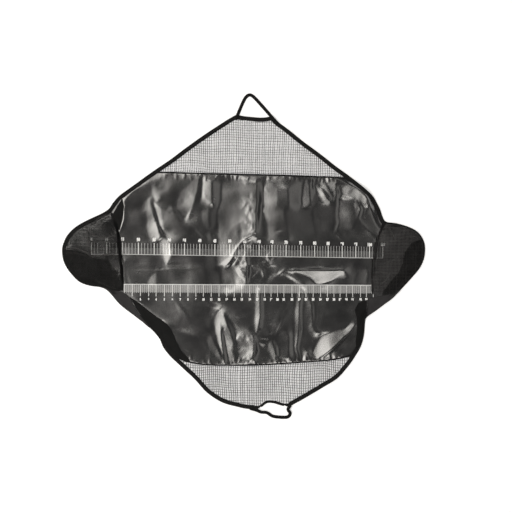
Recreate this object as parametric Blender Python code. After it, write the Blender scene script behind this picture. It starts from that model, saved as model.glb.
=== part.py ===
"""Weigh sling for fish, lying open on its back: a coated cloth trough with an end pocket at either
end, two cloth wings, two mesh flaps and two hanging loops, all bound with tape.

Metres, +Z up, +X along the sling, +Y towards the upper loop. The origin is on the ground, under the
middle of the sling. The cloth folds up along six lines, and each line is a hinge.
"""

import math

import bmesh
import bpy
from mathutils import Vector
from mathutils.geometry import delaunay_2d_cdt

# Reach of the sling from its middle to the end of a pocket, and to the tip of a loop.
HALF_LENGTH = 0.5825
HALF_WIDTH = 0.52

# Lines across the sling where it folds, and the seams of cloth and mesh, as shares of the half width.
UPPER_FOLD_SHARE = 0.2654
LOWER_FOLD_SHARE = -0.3862
UPPER_SEAM_SHARE = 0.4956
UPPER_SEAM_SLOPE_SHARE = -0.028
LOWER_SEAM_SHARE = -0.6723

# Cloth, mesh and webbing.
CLOTH_PLY = 0.0012
MESH_PLY = 0.0012
TAPE_PLY = 0.0008
EDGE_TAPE_WIDTH = 0.013
SEAM_TAPE_WIDTH = 0.006
MOUTH_TAPE_WIDTH = 0.011
TAPE_CORNER = 0.0003
LOOP_STRAP_WIDTH = 0.0105
LOOP_STRAP_PLY = 0.0026
SEWN_GAP = 0.0003
FOLD_GAP = 0.0004

# Mesh of the two flaps, at a coarser pitch than the knitted one.
NET_PITCH = 0.0265
NET_THREAD = 0.0042
SMALLEST_GAP_SHARE = 0.16

# End pockets, their plain gussets and the tacks that hold the loops.
POCKET_RISE = 0.032
TACK_LENGTH = 0.011
TACK_WIDTH = 0.007
TACK_HEIGHT = 0.0006

# Folds that stand in the slack cloth.
FOLD_RISE = 0.014
FOLD_SPREAD = 0.021
FLAT_HEM = 0.0165
HEM_RUN = 0.030

# How finely the shapes are drawn.
CURVE_STEPS = 2
CLOTH_CELL = 0.0285
POCKET_COLUMNS = 6
OVERRUN = 0.004
MERGE_DISTANCE = 0.000001

# Heights that follow from the plies.
CLOTH_BOTTOM = TAPE_PLY + SEWN_GAP
CLOTH_TOP = CLOTH_BOTTOM + CLOTH_PLY
BINDING_HEIGHT = CLOTH_TOP + SEWN_GAP + TAPE_PLY
HINGE_Z = BINDING_HEIGHT

# Silhouette, from the lower loop to the upper one, as shares of the half length and half width.
LEFT_SIDE_SHARES = (
    (0.09, -0.956), (-0.022, -0.953), (-0.093, -0.926), (-0.165, -0.888), (-0.236, -0.814),
    (-0.33, -0.703), (-0.396, -0.629), (-0.445, -0.555), (-0.484, -0.482), (-0.56, -0.408),
    (-0.67, -0.315), (-0.742, -0.224), (-0.79, -0.199), (-0.846, -0.186), (-0.923, -0.149),
    (-0.972, -0.075), (-1.0, 0.035), (-0.978, 0.109), (-0.918, 0.183), (-0.863, 0.22),
    (-0.786, 0.257), (-0.742, 0.294), (-0.703, 0.346), (-0.643, 0.405), (-0.544, 0.478),
    (-0.363, 0.626), (-0.225, 0.737), (-0.041, 0.867),
)
RIGHT_SIDE_SHARES = (
    (0.24, -0.942), (0.324, -0.894), (0.44, -0.814), (0.527, -0.74), (0.582, -0.666),
    (0.626, -0.592), (0.654, -0.518), (0.665, -0.444), (0.673, -0.388), (0.73, -0.334),
    (0.819, -0.26), (0.879, -0.186), (0.94, -0.112), (0.986, -0.038), (1.0, 0.04),
    (0.978, 0.109), (0.934, 0.163), (0.868, 0.19), (0.802, 0.203), (0.772, 0.22),
    (0.745, 0.277), (0.709, 0.368), (0.64, 0.438), (0.593, 0.478), (0.4215, 0.6285), (0.165, 0.842),
)
# The lower end is drawn in between the feet of its loop.
LOWER_END_SHARES = ((0.112, -0.918), (0.142, -0.903), (0.2, -0.909))

# Centre lines of the loops, and the mouths of the two pockets.
UPPER_LOOP_SHARES = (
    (-0.036, 0.848), (-0.018, 0.91), (-0.002, 0.95), (0.02, 0.98), (0.046, 0.984), (0.07, 0.96),
    (0.1, 0.918), (0.13, 0.878), (0.162, 0.828),
)
LOWER_LOOP_SHARES = (
    (0.066, -0.91), (0.085, -0.96), (0.12, -0.968), (0.16, -0.985), (0.2, -0.991), (0.233, -0.987),
    (0.251, -0.965), (0.247, -0.91),
)
LEFT_MOUTH_SHARES = ((-0.66, -0.213), (-0.664, -0.09), (-0.672, 0.03), (-0.69, 0.14), (-0.72, 0.227))
RIGHT_MOUTH_SHARES = ((0.7, -0.245), (0.7, -0.15), (0.709, 0.0), (0.725, 0.115), (0.755, 0.182))

# Where each pocket starts and ends on the silhouette, as shares of the half width.
LEFT_POCKET_SPAN_SHARES = (-0.206, 0.23)
RIGHT_POCKET_SPAN_SHARES = (-0.226, 0.185)

# Where the gussets meet the lower fold, at their inner corners.
GUSSET_INNER_SHARES = ((-0.53, -0.4), (0.636, -0.4))

# Main folds: the two ends of each as shares of the half length and half width, then its rise and
# spread as shares of FOLD_RISE and FOLD_SPREAD.
UPPER_WING_FOLD_SHARES = (
    (-0.495, 0.43, -0.46, 0.31, 0.8, 1.0), (-0.29, 0.44, -0.28, 0.31, 0.6, 1.3),
    (0.12, 0.45, 0.11, 0.3, 1.0, 1.0), (0.345, 0.45, 0.34, 0.31, 0.6, 1.0),
    (0.42, 0.44, 0.5, 0.31, 1.0, 0.9), (0.56, 0.41, 0.65, 0.33, 0.8, 1.0),
)
TROUGH_FOLD_SHARES = (
    (0.11, 0.23, -0.02, -0.04, 0.9, 1.1), (-0.46, 0.22, -0.41, 0.03, 0.7, 1.1),
    (-0.62, -0.05, -0.2, -0.05, 0.35, 0.8), (0.27, -0.08, 0.55, -0.07, 0.7, 0.9),
    (0.32, 0.2, 0.38, 0.04, 0.5, 1.2), (-0.24, -0.15, -0.16, -0.33, 0.6, 1.1),
    (0.29, -0.2, 0.3, -0.34, 0.5, 1.0), (0.55, -0.2, 0.6, -0.31, 0.7, 1.0),
)
LOWER_WING_FOLD_SHARES = (
    (-0.14, -0.42, -0.09, -0.62, 1.0, 0.9), (0.6, -0.44, 0.37, -0.61, 1.0, 1.0),
    (0.08, -0.43, 0.075, -0.6, 0.8, 0.8), (0.29, -0.43, 0.29, -0.6, 0.8, 0.8),
    (-0.38, -0.43, -0.26, -0.58, 0.6, 1.2),
)


def clear_scene():
    for old in list(bpy.data.objects):
        bpy.data.objects.remove(old)


def surface(name, colour, roughness):
    material = bpy.data.materials.new(name)
    material.use_nodes = True
    shader = material.node_tree.nodes["Principled BSDF"]
    shader.inputs["Base Color"].default_value = (*colour, 1.0)
    shader.inputs["Roughness"].default_value = roughness
    shader.inputs["Metallic"].default_value = 0.0
    material.diffuse_color = (*colour, 1.0)
    return material


def sized(shares):
    """Places on the sling from shares of its half length and half width."""
    return [Vector((x * HALF_LENGTH, y * HALF_WIDTH, 0.0)) for x, y in shares]


def smooth_curve(points, steps=CURVE_STEPS):
    """A Catmull-Rom curve through the points, with the given steps from each to the next."""
    ends = [points[0] * 2 - points[1], *points, points[-1] * 2 - points[-2]]
    curve = []
    for before, here, there, after in zip(ends, ends[1:], ends[2:], ends[3:]):
        for step in range(steps):
            t = step / steps
            bend = (before * -1 + here * 3 - there * 3 + after) * t**3
            lean = (before * 2 - here * 5 + there * 4 - after) * t**2
            curve.append((bend + lean + (there - before) * t + here * 2) / 2)
    return curve + [points[-1].copy()]


def inward_normals(path, inside):
    """Level mitred normals of a path. Inside is 1 where the cloth lies on the path's left, else -1."""
    normals = []
    for index, point in enumerate(path):
        ways = []
        if index > 0:
            ways.append((point - path[index - 1]).to_2d().normalized())
        if index < len(path) - 1:
            ways.append((path[index + 1] - point).to_2d().normalized())
        way = sum(ways, Vector((0.0, 0.0))).normalized()
        stretch = 1 / max(way.dot(ways[0]), 0.5)
        normals.append(Vector((-way.y, way.x, 0.0)) * inside * stretch)
    return normals


def inset(path, inside, distance):
    return [point + normal * distance for point, normal in zip(path, inward_normals(path, inside))]


def inset_ring(ring, distance):
    """A closed outline that runs to the left, drawn in by a distance."""
    return inset([ring[-1], *ring, ring[0]], 1, distance)[1:-1]


def line_through(start, end):
    """The line across the sling through two places, as its Y in the middle and its slope."""
    slope = (end.y - start.y) / (end.x - start.x)
    return (start.y - slope * start.x, slope)


def stretched(path, distance):
    """The path with straight ends added to it."""
    first = path[0] + (path[0] - path[1]).normalized() * distance
    last = path[-1] + (path[-1] - path[-2]).normalized() * distance
    return [first, *path, last]


def line_height(line, x):
    """A line across the sling is its Y in the middle and its slope."""
    return line[0] + line[1] * x


def shifted(line, distance):
    return (line[0] + distance * math.hypot(1.0, line[1]), line[1])


def clip(polygon, line, keep_upper):
    """The part of a polygon above or below a line across the sling."""
    side = 1 if keep_upper else -1
    kept = []
    for here, there in zip(polygon, [*polygon[1:], polygon[0]]):
        level_here = (here.y - line_height(line, here.x)) * side
        level_there = (there.y - line_height(line, there.x)) * side
        if level_here >= 0:
            kept.append(here.copy())
        if (level_here >= 0) != (level_there >= 0):
            kept.append(here.lerp(there, level_here / (level_here - level_there)))
    return kept


def without_repeats(polygon, closest=SEWN_GAP):
    kept = []
    for point in polygon:
        if not kept or (point - kept[-1]).length > closest:
            kept.append(point)
    while len(kept) > 1 and (kept[0] - kept[-1]).length <= closest:
        kept.pop()
    return kept


def inside_polygon(point, polygon):
    inside = False
    for here, there in zip(polygon, [*polygon[1:], polygon[0]]):
        if (here.y > point.y) != (there.y > point.y):
            edge_x = here.x + (point.y - here.y) * (there.x - here.x) / (there.y - here.y)
            if point.x < edge_x:
                inside = not inside
    return inside


def distance_to_segment(point, start, end):
    """Distance to a segment, and how far along it the nearest point lies, from 0 to 1."""
    run = (end - start).to_2d()
    along = min(max((point - start).to_2d().dot(run) / run.length_squared, 0.0), 1.0)
    return ((point - start).to_2d() - run * along).length, along


def divided(polygon, longest):
    """The polygon with points added along its long sides."""
    points = []
    for here, there in zip(polygon, [*polygon[1:], polygon[0]]):
        parts = max(round((there - here).length / longest), 1)
        points.extend(here.lerp(there, part / parts) for part in range(parts))
    return points


def distance_to_edge(point, polygon):
    pairs = zip(polygon, [*polygon[1:], polygon[0]])
    return min(distance_to_segment(point, here, there)[0] for here, there in pairs)


def add_object(name, bm, material):
    bmesh.ops.recalc_face_normals(bm, faces=bm.faces)
    if bm.calc_volume(signed=True) < 0:
        bmesh.ops.reverse_faces(bm, faces=bm.faces)
    mesh = bpy.data.meshes.new(name)
    bm.to_mesh(mesh)
    bm.free()
    mesh.materials.append(material)
    thing = bpy.data.objects.new(name, mesh)
    bpy.context.scene.collection.objects.link(thing)
    return thing


def thicken(bm, faces, ply):
    """Raises a sheet of faces by its ply, into a closed solid."""
    raised = bmesh.ops.extrude_face_region(bm, geom=faces, use_keep_orig=True)
    corners = [item for item in raised["geom"] if isinstance(item, bmesh.types.BMVert)]
    bmesh.ops.translate(bm, verts=corners, vec=(0.0, 0.0, ply))


def rise_of_folds(point, folds):
    """Height that the folds give the cloth at a point: each swells and dies away along its run."""
    rise = 0.0
    for x0, y0, x1, y1, rise_share, spread_share in folds:
        start, end = sized(((x0, y0), (x1, y1)))
        distance, along = distance_to_segment(point, start, end)
        swell = 0.35 + 0.65 * math.sin(math.pi * along)
        rise += FOLD_RISE * rise_share * swell * math.exp(-((distance / (FOLD_SPREAD * spread_share)) ** 2))
    return rise


def cloth_panel(name, polygon, folds, keep_flat, material):
    """Cloth of one ply in an outline: flat along its hem and where it says, with the folds between."""
    polygon = divided(without_repeats(polygon), 2 * CLOTH_CELL)
    hem = [point for point in inset_ring(polygon, FLAT_HEM) if inside_polygon(point, polygon)]
    hem = [point for point in hem if distance_to_edge(point, polygon) > FLAT_HEM * 0.97]
    points = [*polygon, *hem]
    first = len(polygon)
    hem_links = [(first + index, first + (index + 1) % len(hem)) for index in range(len(hem))]
    low_x, high_x = min(p.x for p in polygon), max(p.x for p in polygon)
    low_y, high_y = min(p.y for p in polygon), max(p.y for p in polygon)
    columns = max(round((high_x - low_x) / CLOTH_CELL), 1)
    rows = max(round((high_y - low_y) / CLOTH_CELL), 1)
    for row in range(1, rows):
        for column in range(1, columns):
            shift = 0.25 if row % 2 else -0.25
            x = low_x + (high_x - low_x) * (column + shift) / columns
            point = Vector((x, low_y + (high_y - low_y) * row / rows, 0.0))
            if inside_polygon(point, polygon) and distance_to_edge(point, polygon) > FLAT_HEM * 1.4:
                points.append(point)
    places = [point.to_2d() for point in points]
    flat = delaunay_2d_cdt(places, hem_links, [range(len(polygon))], 1, MERGE_DISTANCE)
    bm = bmesh.new()
    corners = []
    for place in flat[0]:
        point = Vector((place.x, place.y, 0.0))
        clear = (distance_to_edge(point, polygon) - FLAT_HEM) / HEM_RUN
        fade = min(max(clear, 0.0), 1.0) * keep_flat(point)
        point.z = CLOTH_BOTTOM + rise_of_folds(point, folds) * fade
        corners.append(bm.verts.new(point))
    faces = [bm.faces.new([corners[index] for index in face]) for face in flat[2]]
    thicken(bm, faces, CLOTH_PLY)
    return add_object(name, bm, material)


def net_gaps(border, end_path):
    """The squares between the threads of a net, trimmed to a border that bulges outwards.

    The ones that would reach under the binding along the end path are left whole cloth.
    """
    low_x, high_x = min(p.x for p in border), max(p.x for p in border)
    low_y, high_y = min(p.y for p in border), max(p.y for p in border)
    columns = math.ceil((high_x - low_x) / NET_PITCH)
    rows = math.ceil((high_y - low_y) / NET_PITCH)
    middle_x, middle_y = (low_x + high_x) / 2, (low_y + high_y) / 2
    reach = (NET_PITCH - NET_THREAD) / 2
    gaps = []
    for row in range(rows):
        for column in range(columns):
            x = middle_x + (column - (columns - 1) / 2) * NET_PITCH
            y = middle_y + (row - (rows - 1) / 2) * NET_PITCH
            gap = [Vector((x + a * reach, y + b * reach, 0.0)) for a, b in ((-1, -1), (1, -1), (1, 1), (-1, 1))]
            gap = trimmed_inside(gap, border)
            if len(gap) < 3 or area_of(gap) < SMALLEST_GAP_SHARE * (2 * reach) ** 2:
                continue
            if min(distance_to_edge(corner, end_path) for corner in gap) > EDGE_TAPE_WIDTH + SEWN_GAP:
                gaps.append(gap)
    return gaps


def area_of(polygon):
    pairs = zip(polygon, [*polygon[1:], polygon[0]])
    return abs(sum(here.x * there.y - there.x * here.y for here, there in pairs)) / 2


def trimmed_inside(polygon, border):
    """The part of a polygon inside a border whose corners run to the left and bulge outwards."""
    for start, end in zip(border, [*border[1:], border[0]]):
        way = (end - start).normalized()
        kept = []
        for here, there in zip(polygon, [*polygon[1:], polygon[0]]):
            level_here = way.cross(here - start).z
            level_there = way.cross(there - start).z
            if level_here >= 0:
                kept.append(here)
            if (level_here >= 0) != (level_there >= 0):
                kept.append(here.lerp(there, level_here / (level_here - level_there)))
        polygon = kept
        if len(polygon) < 3:
            return []
    return without_repeats(polygon, TAPE_PLY)


def mesh_net(name, polygon, border, end_path, material):
    """A flat net: one sheet in its outline, with the gaps between the threads left out."""
    polygon = without_repeats(polygon)
    points = list(polygon)
    links = []
    gaps = net_gaps(border, end_path)
    for gap in gaps:
        first = len(points)
        points.extend(gap)
        links.extend((first + index, first + (index + 1) % len(gap)) for index in range(len(gap)))
    places = [point.to_2d() for point in points]
    flat = delaunay_2d_cdt(places, links, [range(len(polygon))], 1, MERGE_DISTANCE)
    bm = bmesh.new()
    corners = [bm.verts.new((place.x, place.y, CLOTH_BOTTOM)) for place in flat[0]]
    faces = []
    for face in flat[2]:
        middle = sum((corners[index].co for index in face), Vector()) / len(face)
        if not any(inside_polygon(middle, gap) for gap in gaps):
            faces.append(bm.faces.new([corners[index] for index in face]))
    thicken(bm, faces, MESH_PLY)
    return add_object(name, bm, material)


def swept(path, section, inside):
    """A closed solid along a path. The section is (distance inwards, height) pairs in a ring."""
    bm = bmesh.new()
    rings = []
    for point, normal in zip(path, inward_normals(path, inside)):
        rings.append([bm.verts.new(point + normal * across + Vector((0, 0, up))) for across, up in section])
    for ring, following in zip(rings, rings[1:]):
        for index in range(len(section)):
            onward = (index + 1) % len(section)
            bm.faces.new((ring[index], ring[onward], following[onward], following[index]))
    bm.faces.new(rings[0])
    bm.faces.new(rings[-1])
    return bm


def cut_off(bm, line, keep_upper):
    """Cuts a solid along a line across the sling, and closes the cut."""
    outward = Vector((line[1], -1.0, 0.0)) * (1 if keep_upper else -1)
    everything = [*bm.verts, *bm.edges, *bm.faces]
    plane_co = (0.0, line[0], 0.0)
    cut = bmesh.ops.bisect_plane(bm, geom=everything, plane_co=plane_co, plane_no=outward, clear_outer=True)
    rim = [item for item in cut["geom_cut"] if isinstance(item, bmesh.types.BMEdge)]
    bmesh.ops.holes_fill(bm, edges=rim, sides=0)


def binding_section(width, slot_ply):
    """A tape folded over an edge: two legs and the fold outside the edge."""
    top = 2 * TAPE_PLY + 2 * SEWN_GAP + slot_ply
    return (
        (0.0, TAPE_CORNER), (TAPE_CORNER, 0.0), (width, 0.0), (width, TAPE_PLY), (TAPE_PLY, TAPE_PLY),
        (TAPE_PLY, top - TAPE_PLY), (width, top - TAPE_PLY), (width, top), (TAPE_CORNER, top),
        (0.0, top - TAPE_CORNER),
    )


def edge_tape(name, path, inside, lower_line, upper_line, material):
    """The binding along one stretch of the silhouette, from one line across the sling to the next."""
    bm = swept(path, binding_section(EDGE_TAPE_WIDTH, CLOTH_PLY), inside)
    cut_off(bm, shifted(lower_line, FOLD_GAP / 2), True)
    cut_off(bm, shifted(upper_line, -FOLD_GAP / 2), False)
    return add_object(name, bm, material)


def side_guide(name, path, inside):
    """A guide that trims other tapes clear of the binding along a side. It isn't part of the sling."""
    reach = EDGE_TAPE_WIDTH + SEWN_GAP
    low, high = -OVERRUN, BINDING_HEIGHT + OVERRUN
    section = ((-OVERRUN, low), (reach, low), (reach, high), (-OVERRUN, high))
    bm = swept(stretched(path, OVERRUN), section, inside)
    guide = add_object(name, bm, THREAD)
    guide.hide_render = True
    guide.display_type = "WIRE"
    return guide


def cross_tape(name, path, inside, width, material):
    """A binding that runs from side to side, trimmed clear of the bindings along the sides."""
    tape = add_object(name, swept(path, binding_section(width, CLOTH_PLY), inside), material)
    for guide in (LEFT_GUIDE, RIGHT_GUIDE):
        trim = tape.modifiers.new("trim_" + guide.name, "BOOLEAN")
        trim.operation = "DIFFERENCE"
        trim.solver = "EXACT"
        trim.object = guide
    return tape


def length_shares(path):
    """How far along the path each of its points lies, from 0 to 1."""
    lengths = [(there - here).length for here, there in zip(path, path[1:])]
    return [sum(lengths[:count]) / sum(lengths) for count in range(len(path))]


def point_along(path, share):
    """The place at a share of a path's length."""
    lengths = [(there - here).length for here, there in zip(path, path[1:])]
    left = share * sum(lengths)
    for here, there, length in zip(path, path[1:], lengths):
        if left <= length:
            return here.lerp(there, left / length)
        left -= length
    return path[-1].copy()


def stretch_between(path, low_share, high_share):
    """The part of a rising path between two heights, with its ends on them."""
    low, high = low_share * HALF_WIDTH, high_share * HALF_WIDTH
    kept = []
    for here, there in zip(path, path[1:]):
        for level in (low, high):
            if here.y <= level < there.y:
                kept.append(here.lerp(there, (level - here.y) / (there.y - here.y)))
        if low < there.y < high:
            kept.append(there.copy())
    kept.sort(key=lambda point: point.y)
    return kept


def crossing(path, line):
    """Where a rising path crosses a line across the sling."""
    for here, there in zip(path, path[1:]):
        level_here = here.y - line_height(line, here.x)
        level_there = there.y - line_height(line, there.x)
        if level_here < 0 <= level_there:
            return here.lerp(there, level_here / (level_here - level_there))
    raise ValueError("the path doesn't cross the line")


def pocket_lift(along, across):
    """Height of the pocket's mesh over its seam, from its closed end to its mouth."""
    swell = math.sin(math.pi / 2 * min(along / 0.82, 1.0))
    arch = math.sin(math.pi * across) ** 0.75
    mouth_lift = TAPE_PLY + SEWN_GAP
    return swell * (mouth_lift + (POCKET_RISE - mouth_lift) * arch)


def end_pocket(name, seam_path, mouth_path, inside, material):
    """A pocket's mesh: from the seam along the silhouette it swells up to an arched mouth."""
    bm = bmesh.new()
    shares = length_shares(seam_path)
    mouths = [point_along(mouth_path, across) for across in shares]
    bound = inset(mouths, inside, MOUTH_TAPE_WIDTH + SEWN_GAP)
    rows = []
    for across, seam, under_tape, mouth in zip(shares, seam_path, bound, mouths):
        steps = [column / POCKET_COLUMNS for column in range(POCKET_COLUMNS + 1)]
        corners = []
        for point, along in [*((seam.lerp(under_tape, step), step) for step in steps), (mouth, 1.0)]:
            lift = CLOTH_TOP + SEWN_GAP + pocket_lift(along, across)
            corners.append(bm.verts.new((point.x, point.y, lift)))
        rows.append(corners)
    faces = []
    for lower, upper in zip(rows, rows[1:]):
        for column in range(POCKET_COLUMNS + 1):
            faces.append(bm.faces.new((lower[column], lower[column + 1], upper[column + 1], upper[column])))
    thicken(bm, faces, MESH_PLY)
    return add_object(name, bm, material)


def mouth_tape(name, seam_path, mouth_path, inside, material):
    """The binding round the mouth of a pocket, along its arch."""
    shares = length_shares(seam_path)
    path = inset([point_along(mouth_path, across) for across in shares], inside, -TAPE_PLY - SEWN_GAP)
    for point, across in zip(path, shares):
        point.z = CLOTH_TOP + pocket_lift(1.0, across) - TAPE_PLY
    bm = swept(path, binding_section(MOUTH_TAPE_WIDTH, MESH_PLY), inside)
    return add_object(name, bm, material)


def gusset(name, side_path, seam_path, mouth_path, inside, inner_end, material):
    """The plain cloth below a pocket, from its lower end to the fold of the lower wing."""
    mouths = [point_along(mouth_path, across) for across in length_shares(seam_path)]
    bound = inset(mouths, inside, MOUTH_TAPE_WIDTH + SEWN_GAP)[0]
    down = Vector((0.0, -TAPE_PLY, 0.0))
    corner = crossing(side_path, (seam_path[0].y - TAPE_PLY, 0.0))
    side = [point for point in side_path if point.y < corner.y]
    outline = [corner, bound + down, mouths[0] + down, inner_end, *side]
    outline = clip(outline, shifted(LOWER_FOLD, FOLD_GAP), True)
    bm = bmesh.new()
    floor = Vector((0.0, 0.0, CLOTH_TOP + SEWN_GAP))
    face = bm.faces.new([bm.verts.new(point + floor) for point in without_repeats(outline)])
    thicken(bm, [face], CLOTH_PLY)
    return add_object(name, bm, material)


def hanging_loop(name, path, line, keep_upper, material):
    """A strap in a flat loop, cut where it folds over the edge that carries it."""
    half = LOOP_STRAP_WIDTH / 2
    low, high, corner = 0.0, LOOP_STRAP_PLY, LOOP_STRAP_PLY / 4
    section = (
        (-half, low + corner), (-half + corner, low), (half - corner, low), (half, low + corner),
        (half, high - corner), (half - corner, high), (-half + corner, high), (-half, high - corner),
    )
    bm = swept(path, section, 1)
    cut_off(bm, shifted(line, FOLD_GAP / 2 if keep_upper else -FOLD_GAP / 2), keep_upper)
    return add_object(name, bm, material)


def tack(name, foot, way, material):
    """A block of stitches that holds the foot of a loop to the binding."""
    bm = bmesh.new()
    bmesh.ops.create_cube(bm, size=1.0)
    for corner in bm.verts:
        along, across = corner.co.x * TACK_LENGTH, corner.co.y * TACK_WIDTH
        side = Vector((-way.y, way.x, 0.0))
        up = BINDING_HEIGHT + SEWN_GAP + (corner.co.z + 0.5) * TACK_HEIGHT
        corner.co = foot + way * along + side * across + Vector((0.0, 0.0, up))
    return add_object(name, bm, material)


def tacks(stem, path, inside, at_start, material):
    """The tack at one end of a side binding."""
    end, before = (path[0], path[1]) if at_start else (path[-1], path[-2])
    way = (end - before).normalized()
    middle = Vector((-way.y, way.x, 0.0)) * (-inside if at_start else inside) * EDGE_TAPE_WIDTH / 2
    return tack(stem, end + middle - way * TACK_LENGTH, way, material)


def pivot(name, line, parent=None):
    """An empty on a fold: its X axis runs along the fold."""
    empty = bpy.data.objects.new(name, None)
    bpy.context.scene.collection.objects.link(empty)
    empty.location = (0.0, line[0], HINGE_Z)
    empty.rotation_euler.z = math.atan(line[1])
    if parent is not None:
        hold(parent, empty)
    return empty


def hold(parent, *things):
    """Ties things to a pivot where they lie."""
    bpy.context.view_layer.update()
    for thing in things:
        thing.parent = parent
        thing.matrix_parent_inverse = parent.matrix_world.inverted()


clear_scene()

# Finishes.
CLOTH = surface("coated_cloth", (0.05, 0.049, 0.048), 0.32)
REVERSE = surface("cloth_reverse", (0.11, 0.105, 0.105), 0.7)
MESH = surface("flap_mesh", (0.035, 0.034, 0.034), 0.6)
POCKET_MESH = surface("pocket_mesh", (0.012, 0.012, 0.013), 0.6)
BINDING = surface("binding_tape", (0.01, 0.01, 0.011), 0.75)
STRAP = surface("loop_strap", (0.012, 0.012, 0.013), 0.65)
THREAD = surface("thread", (0.02, 0.02, 0.02), 0.55)

# Lines across the sling.
UPPER_FOLD = (UPPER_FOLD_SHARE * HALF_WIDTH, 0.0)
LOWER_FOLD = (LOWER_FOLD_SHARE * HALF_WIDTH, 0.0)
UPPER_SEAM = (UPPER_SEAM_SHARE * HALF_WIDTH, UPPER_SEAM_SLOPE_SHARE)
LOWER_SEAM = (LOWER_SEAM_SHARE * HALF_WIDTH, 0.0)

# Outline of the whole sling, running to the left round the cloth.
left_side = smooth_curve(sized(LEFT_SIDE_SHARES))
right_side = smooth_curve(sized(RIGHT_SIDE_SHARES))
lower_end = smooth_curve([left_side[0], *sized(LOWER_END_SHARES), right_side[0]])
upper_end = [left_side[-1], right_side[-1]]
UPPER_LOOP_LINE = line_through(*upper_end)
LOWER_LOOP_LINE = line_through(left_side[0], right_side[0])
outline = [*lower_end, *right_side[1:], *left_side[:0:-1]]
cloth_outline = inset_ring(outline, TAPE_PLY + SEWN_GAP)
LEFT_GUIDE = side_guide("left_side_guide", left_side, -1)
RIGHT_GUIDE = side_guide("right_side_guide", right_side, 1)

# Mouths of the pockets, and the seams of the pockets inside the bindings.
left_mouth = smooth_curve(sized(LEFT_MOUTH_SHARES))
right_mouth = smooth_curve(sized(RIGHT_MOUTH_SHARES))
left_seam = inset(left_side, -1, EDGE_TAPE_WIDTH + SEWN_GAP)
right_seam = inset(right_side, 1, EDGE_TAPE_WIDTH + SEWN_GAP)
left_pocket_seam = stretch_between(left_seam, *LEFT_POCKET_SPAN_SHARES)
right_pocket_seam = stretch_between(right_seam, *RIGHT_POCKET_SPAN_SHARES)


def between_mouths(point):
    """1 in the open middle of the trough, and 0 where a pocket's mouth needs the cloth flat."""
    left_end = max(place.x for place in left_mouth) + FLAT_HEM
    right_end = min(place.x for place in right_mouth) - FLAT_HEM
    return min(max(min(point.x - left_end, right_end - point.x) / HEM_RUN, 0.0), 1.0)


def everywhere(point):
    return 1.0


# Trough: the cloth that the fish lies on, the pockets at its ends and the binding round them.
above_trough = clip(cloth_outline, shifted(LOWER_FOLD, FOLD_GAP / 2), True)
trough_outline = clip(above_trough, shifted(UPPER_FOLD, -FOLD_GAP / 2), False)
cloth_panel("trough_panel", trough_outline, TROUGH_FOLD_SHARES, between_mouths, CLOTH)
edge_tape("left_end_edge_tape", left_side, -1, LOWER_FOLD, UPPER_FOLD, BINDING)
edge_tape("right_end_edge_tape", right_side, 1, LOWER_FOLD, UPPER_FOLD, BINDING)
end_pocket("left_end_pocket", left_pocket_seam, left_mouth, 1, POCKET_MESH)
end_pocket("right_end_pocket", right_pocket_seam, right_mouth, -1, POCKET_MESH)
mouth_tape("left_pocket_mouth_tape", left_pocket_seam, left_mouth, 1, BINDING)
mouth_tape("right_pocket_mouth_tape", right_pocket_seam, right_mouth, -1, BINDING)
left_inner_end, right_inner_end = sized(GUSSET_INNER_SHARES)
gusset("left_pocket_gusset", left_seam, left_pocket_seam, left_mouth, 1, left_inner_end, REVERSE)
gusset("right_pocket_gusset", right_seam, right_pocket_seam, right_mouth, -1, right_inner_end, REVERSE)

# Wings: the cloth either side of the trough, up to the seams of the mesh.
seam_slot = FOLD_GAP / 2 + TAPE_PLY + SEWN_GAP
upper_seam_path = [crossing(right_side, UPPER_SEAM), crossing(left_side, UPPER_SEAM)]
lower_seam_path = [crossing(left_side, LOWER_SEAM), crossing(right_side, LOWER_SEAM)]
upper_wing_outline = clip(cloth_outline, shifted(UPPER_FOLD, FOLD_GAP / 2), True)
upper_wing_outline = clip(upper_wing_outline, shifted(UPPER_SEAM, -seam_slot), False)
lower_wing_outline = clip(cloth_outline, shifted(LOWER_FOLD, -FOLD_GAP / 2), False)
lower_wing_outline = clip(lower_wing_outline, shifted(LOWER_SEAM, seam_slot), True)
upper_wing = [
    cloth_panel("upper_wing_panel", upper_wing_outline, UPPER_WING_FOLD_SHARES, everywhere, CLOTH),
    cross_tape("upper_seam_tape", inset(upper_seam_path, 1, FOLD_GAP / 2), 1, SEAM_TAPE_WIDTH, BINDING),
    edge_tape("upper_wing_left_edge_tape", left_side, -1, UPPER_FOLD, UPPER_SEAM, BINDING),
    edge_tape("upper_wing_right_edge_tape", right_side, 1, UPPER_FOLD, UPPER_SEAM, BINDING),
]
lower_wing = [
    cloth_panel("lower_wing_panel", lower_wing_outline, LOWER_WING_FOLD_SHARES, everywhere, CLOTH),
    cross_tape("lower_seam_tape", inset(lower_seam_path, 1, FOLD_GAP / 2), 1, SEAM_TAPE_WIDTH, BINDING),
    edge_tape("lower_wing_left_edge_tape", left_side, -1, LOWER_SEAM, LOWER_FOLD, BINDING),
    edge_tape("lower_wing_right_edge_tape", right_side, 1, LOWER_SEAM, LOWER_FOLD, BINDING),
]

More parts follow.
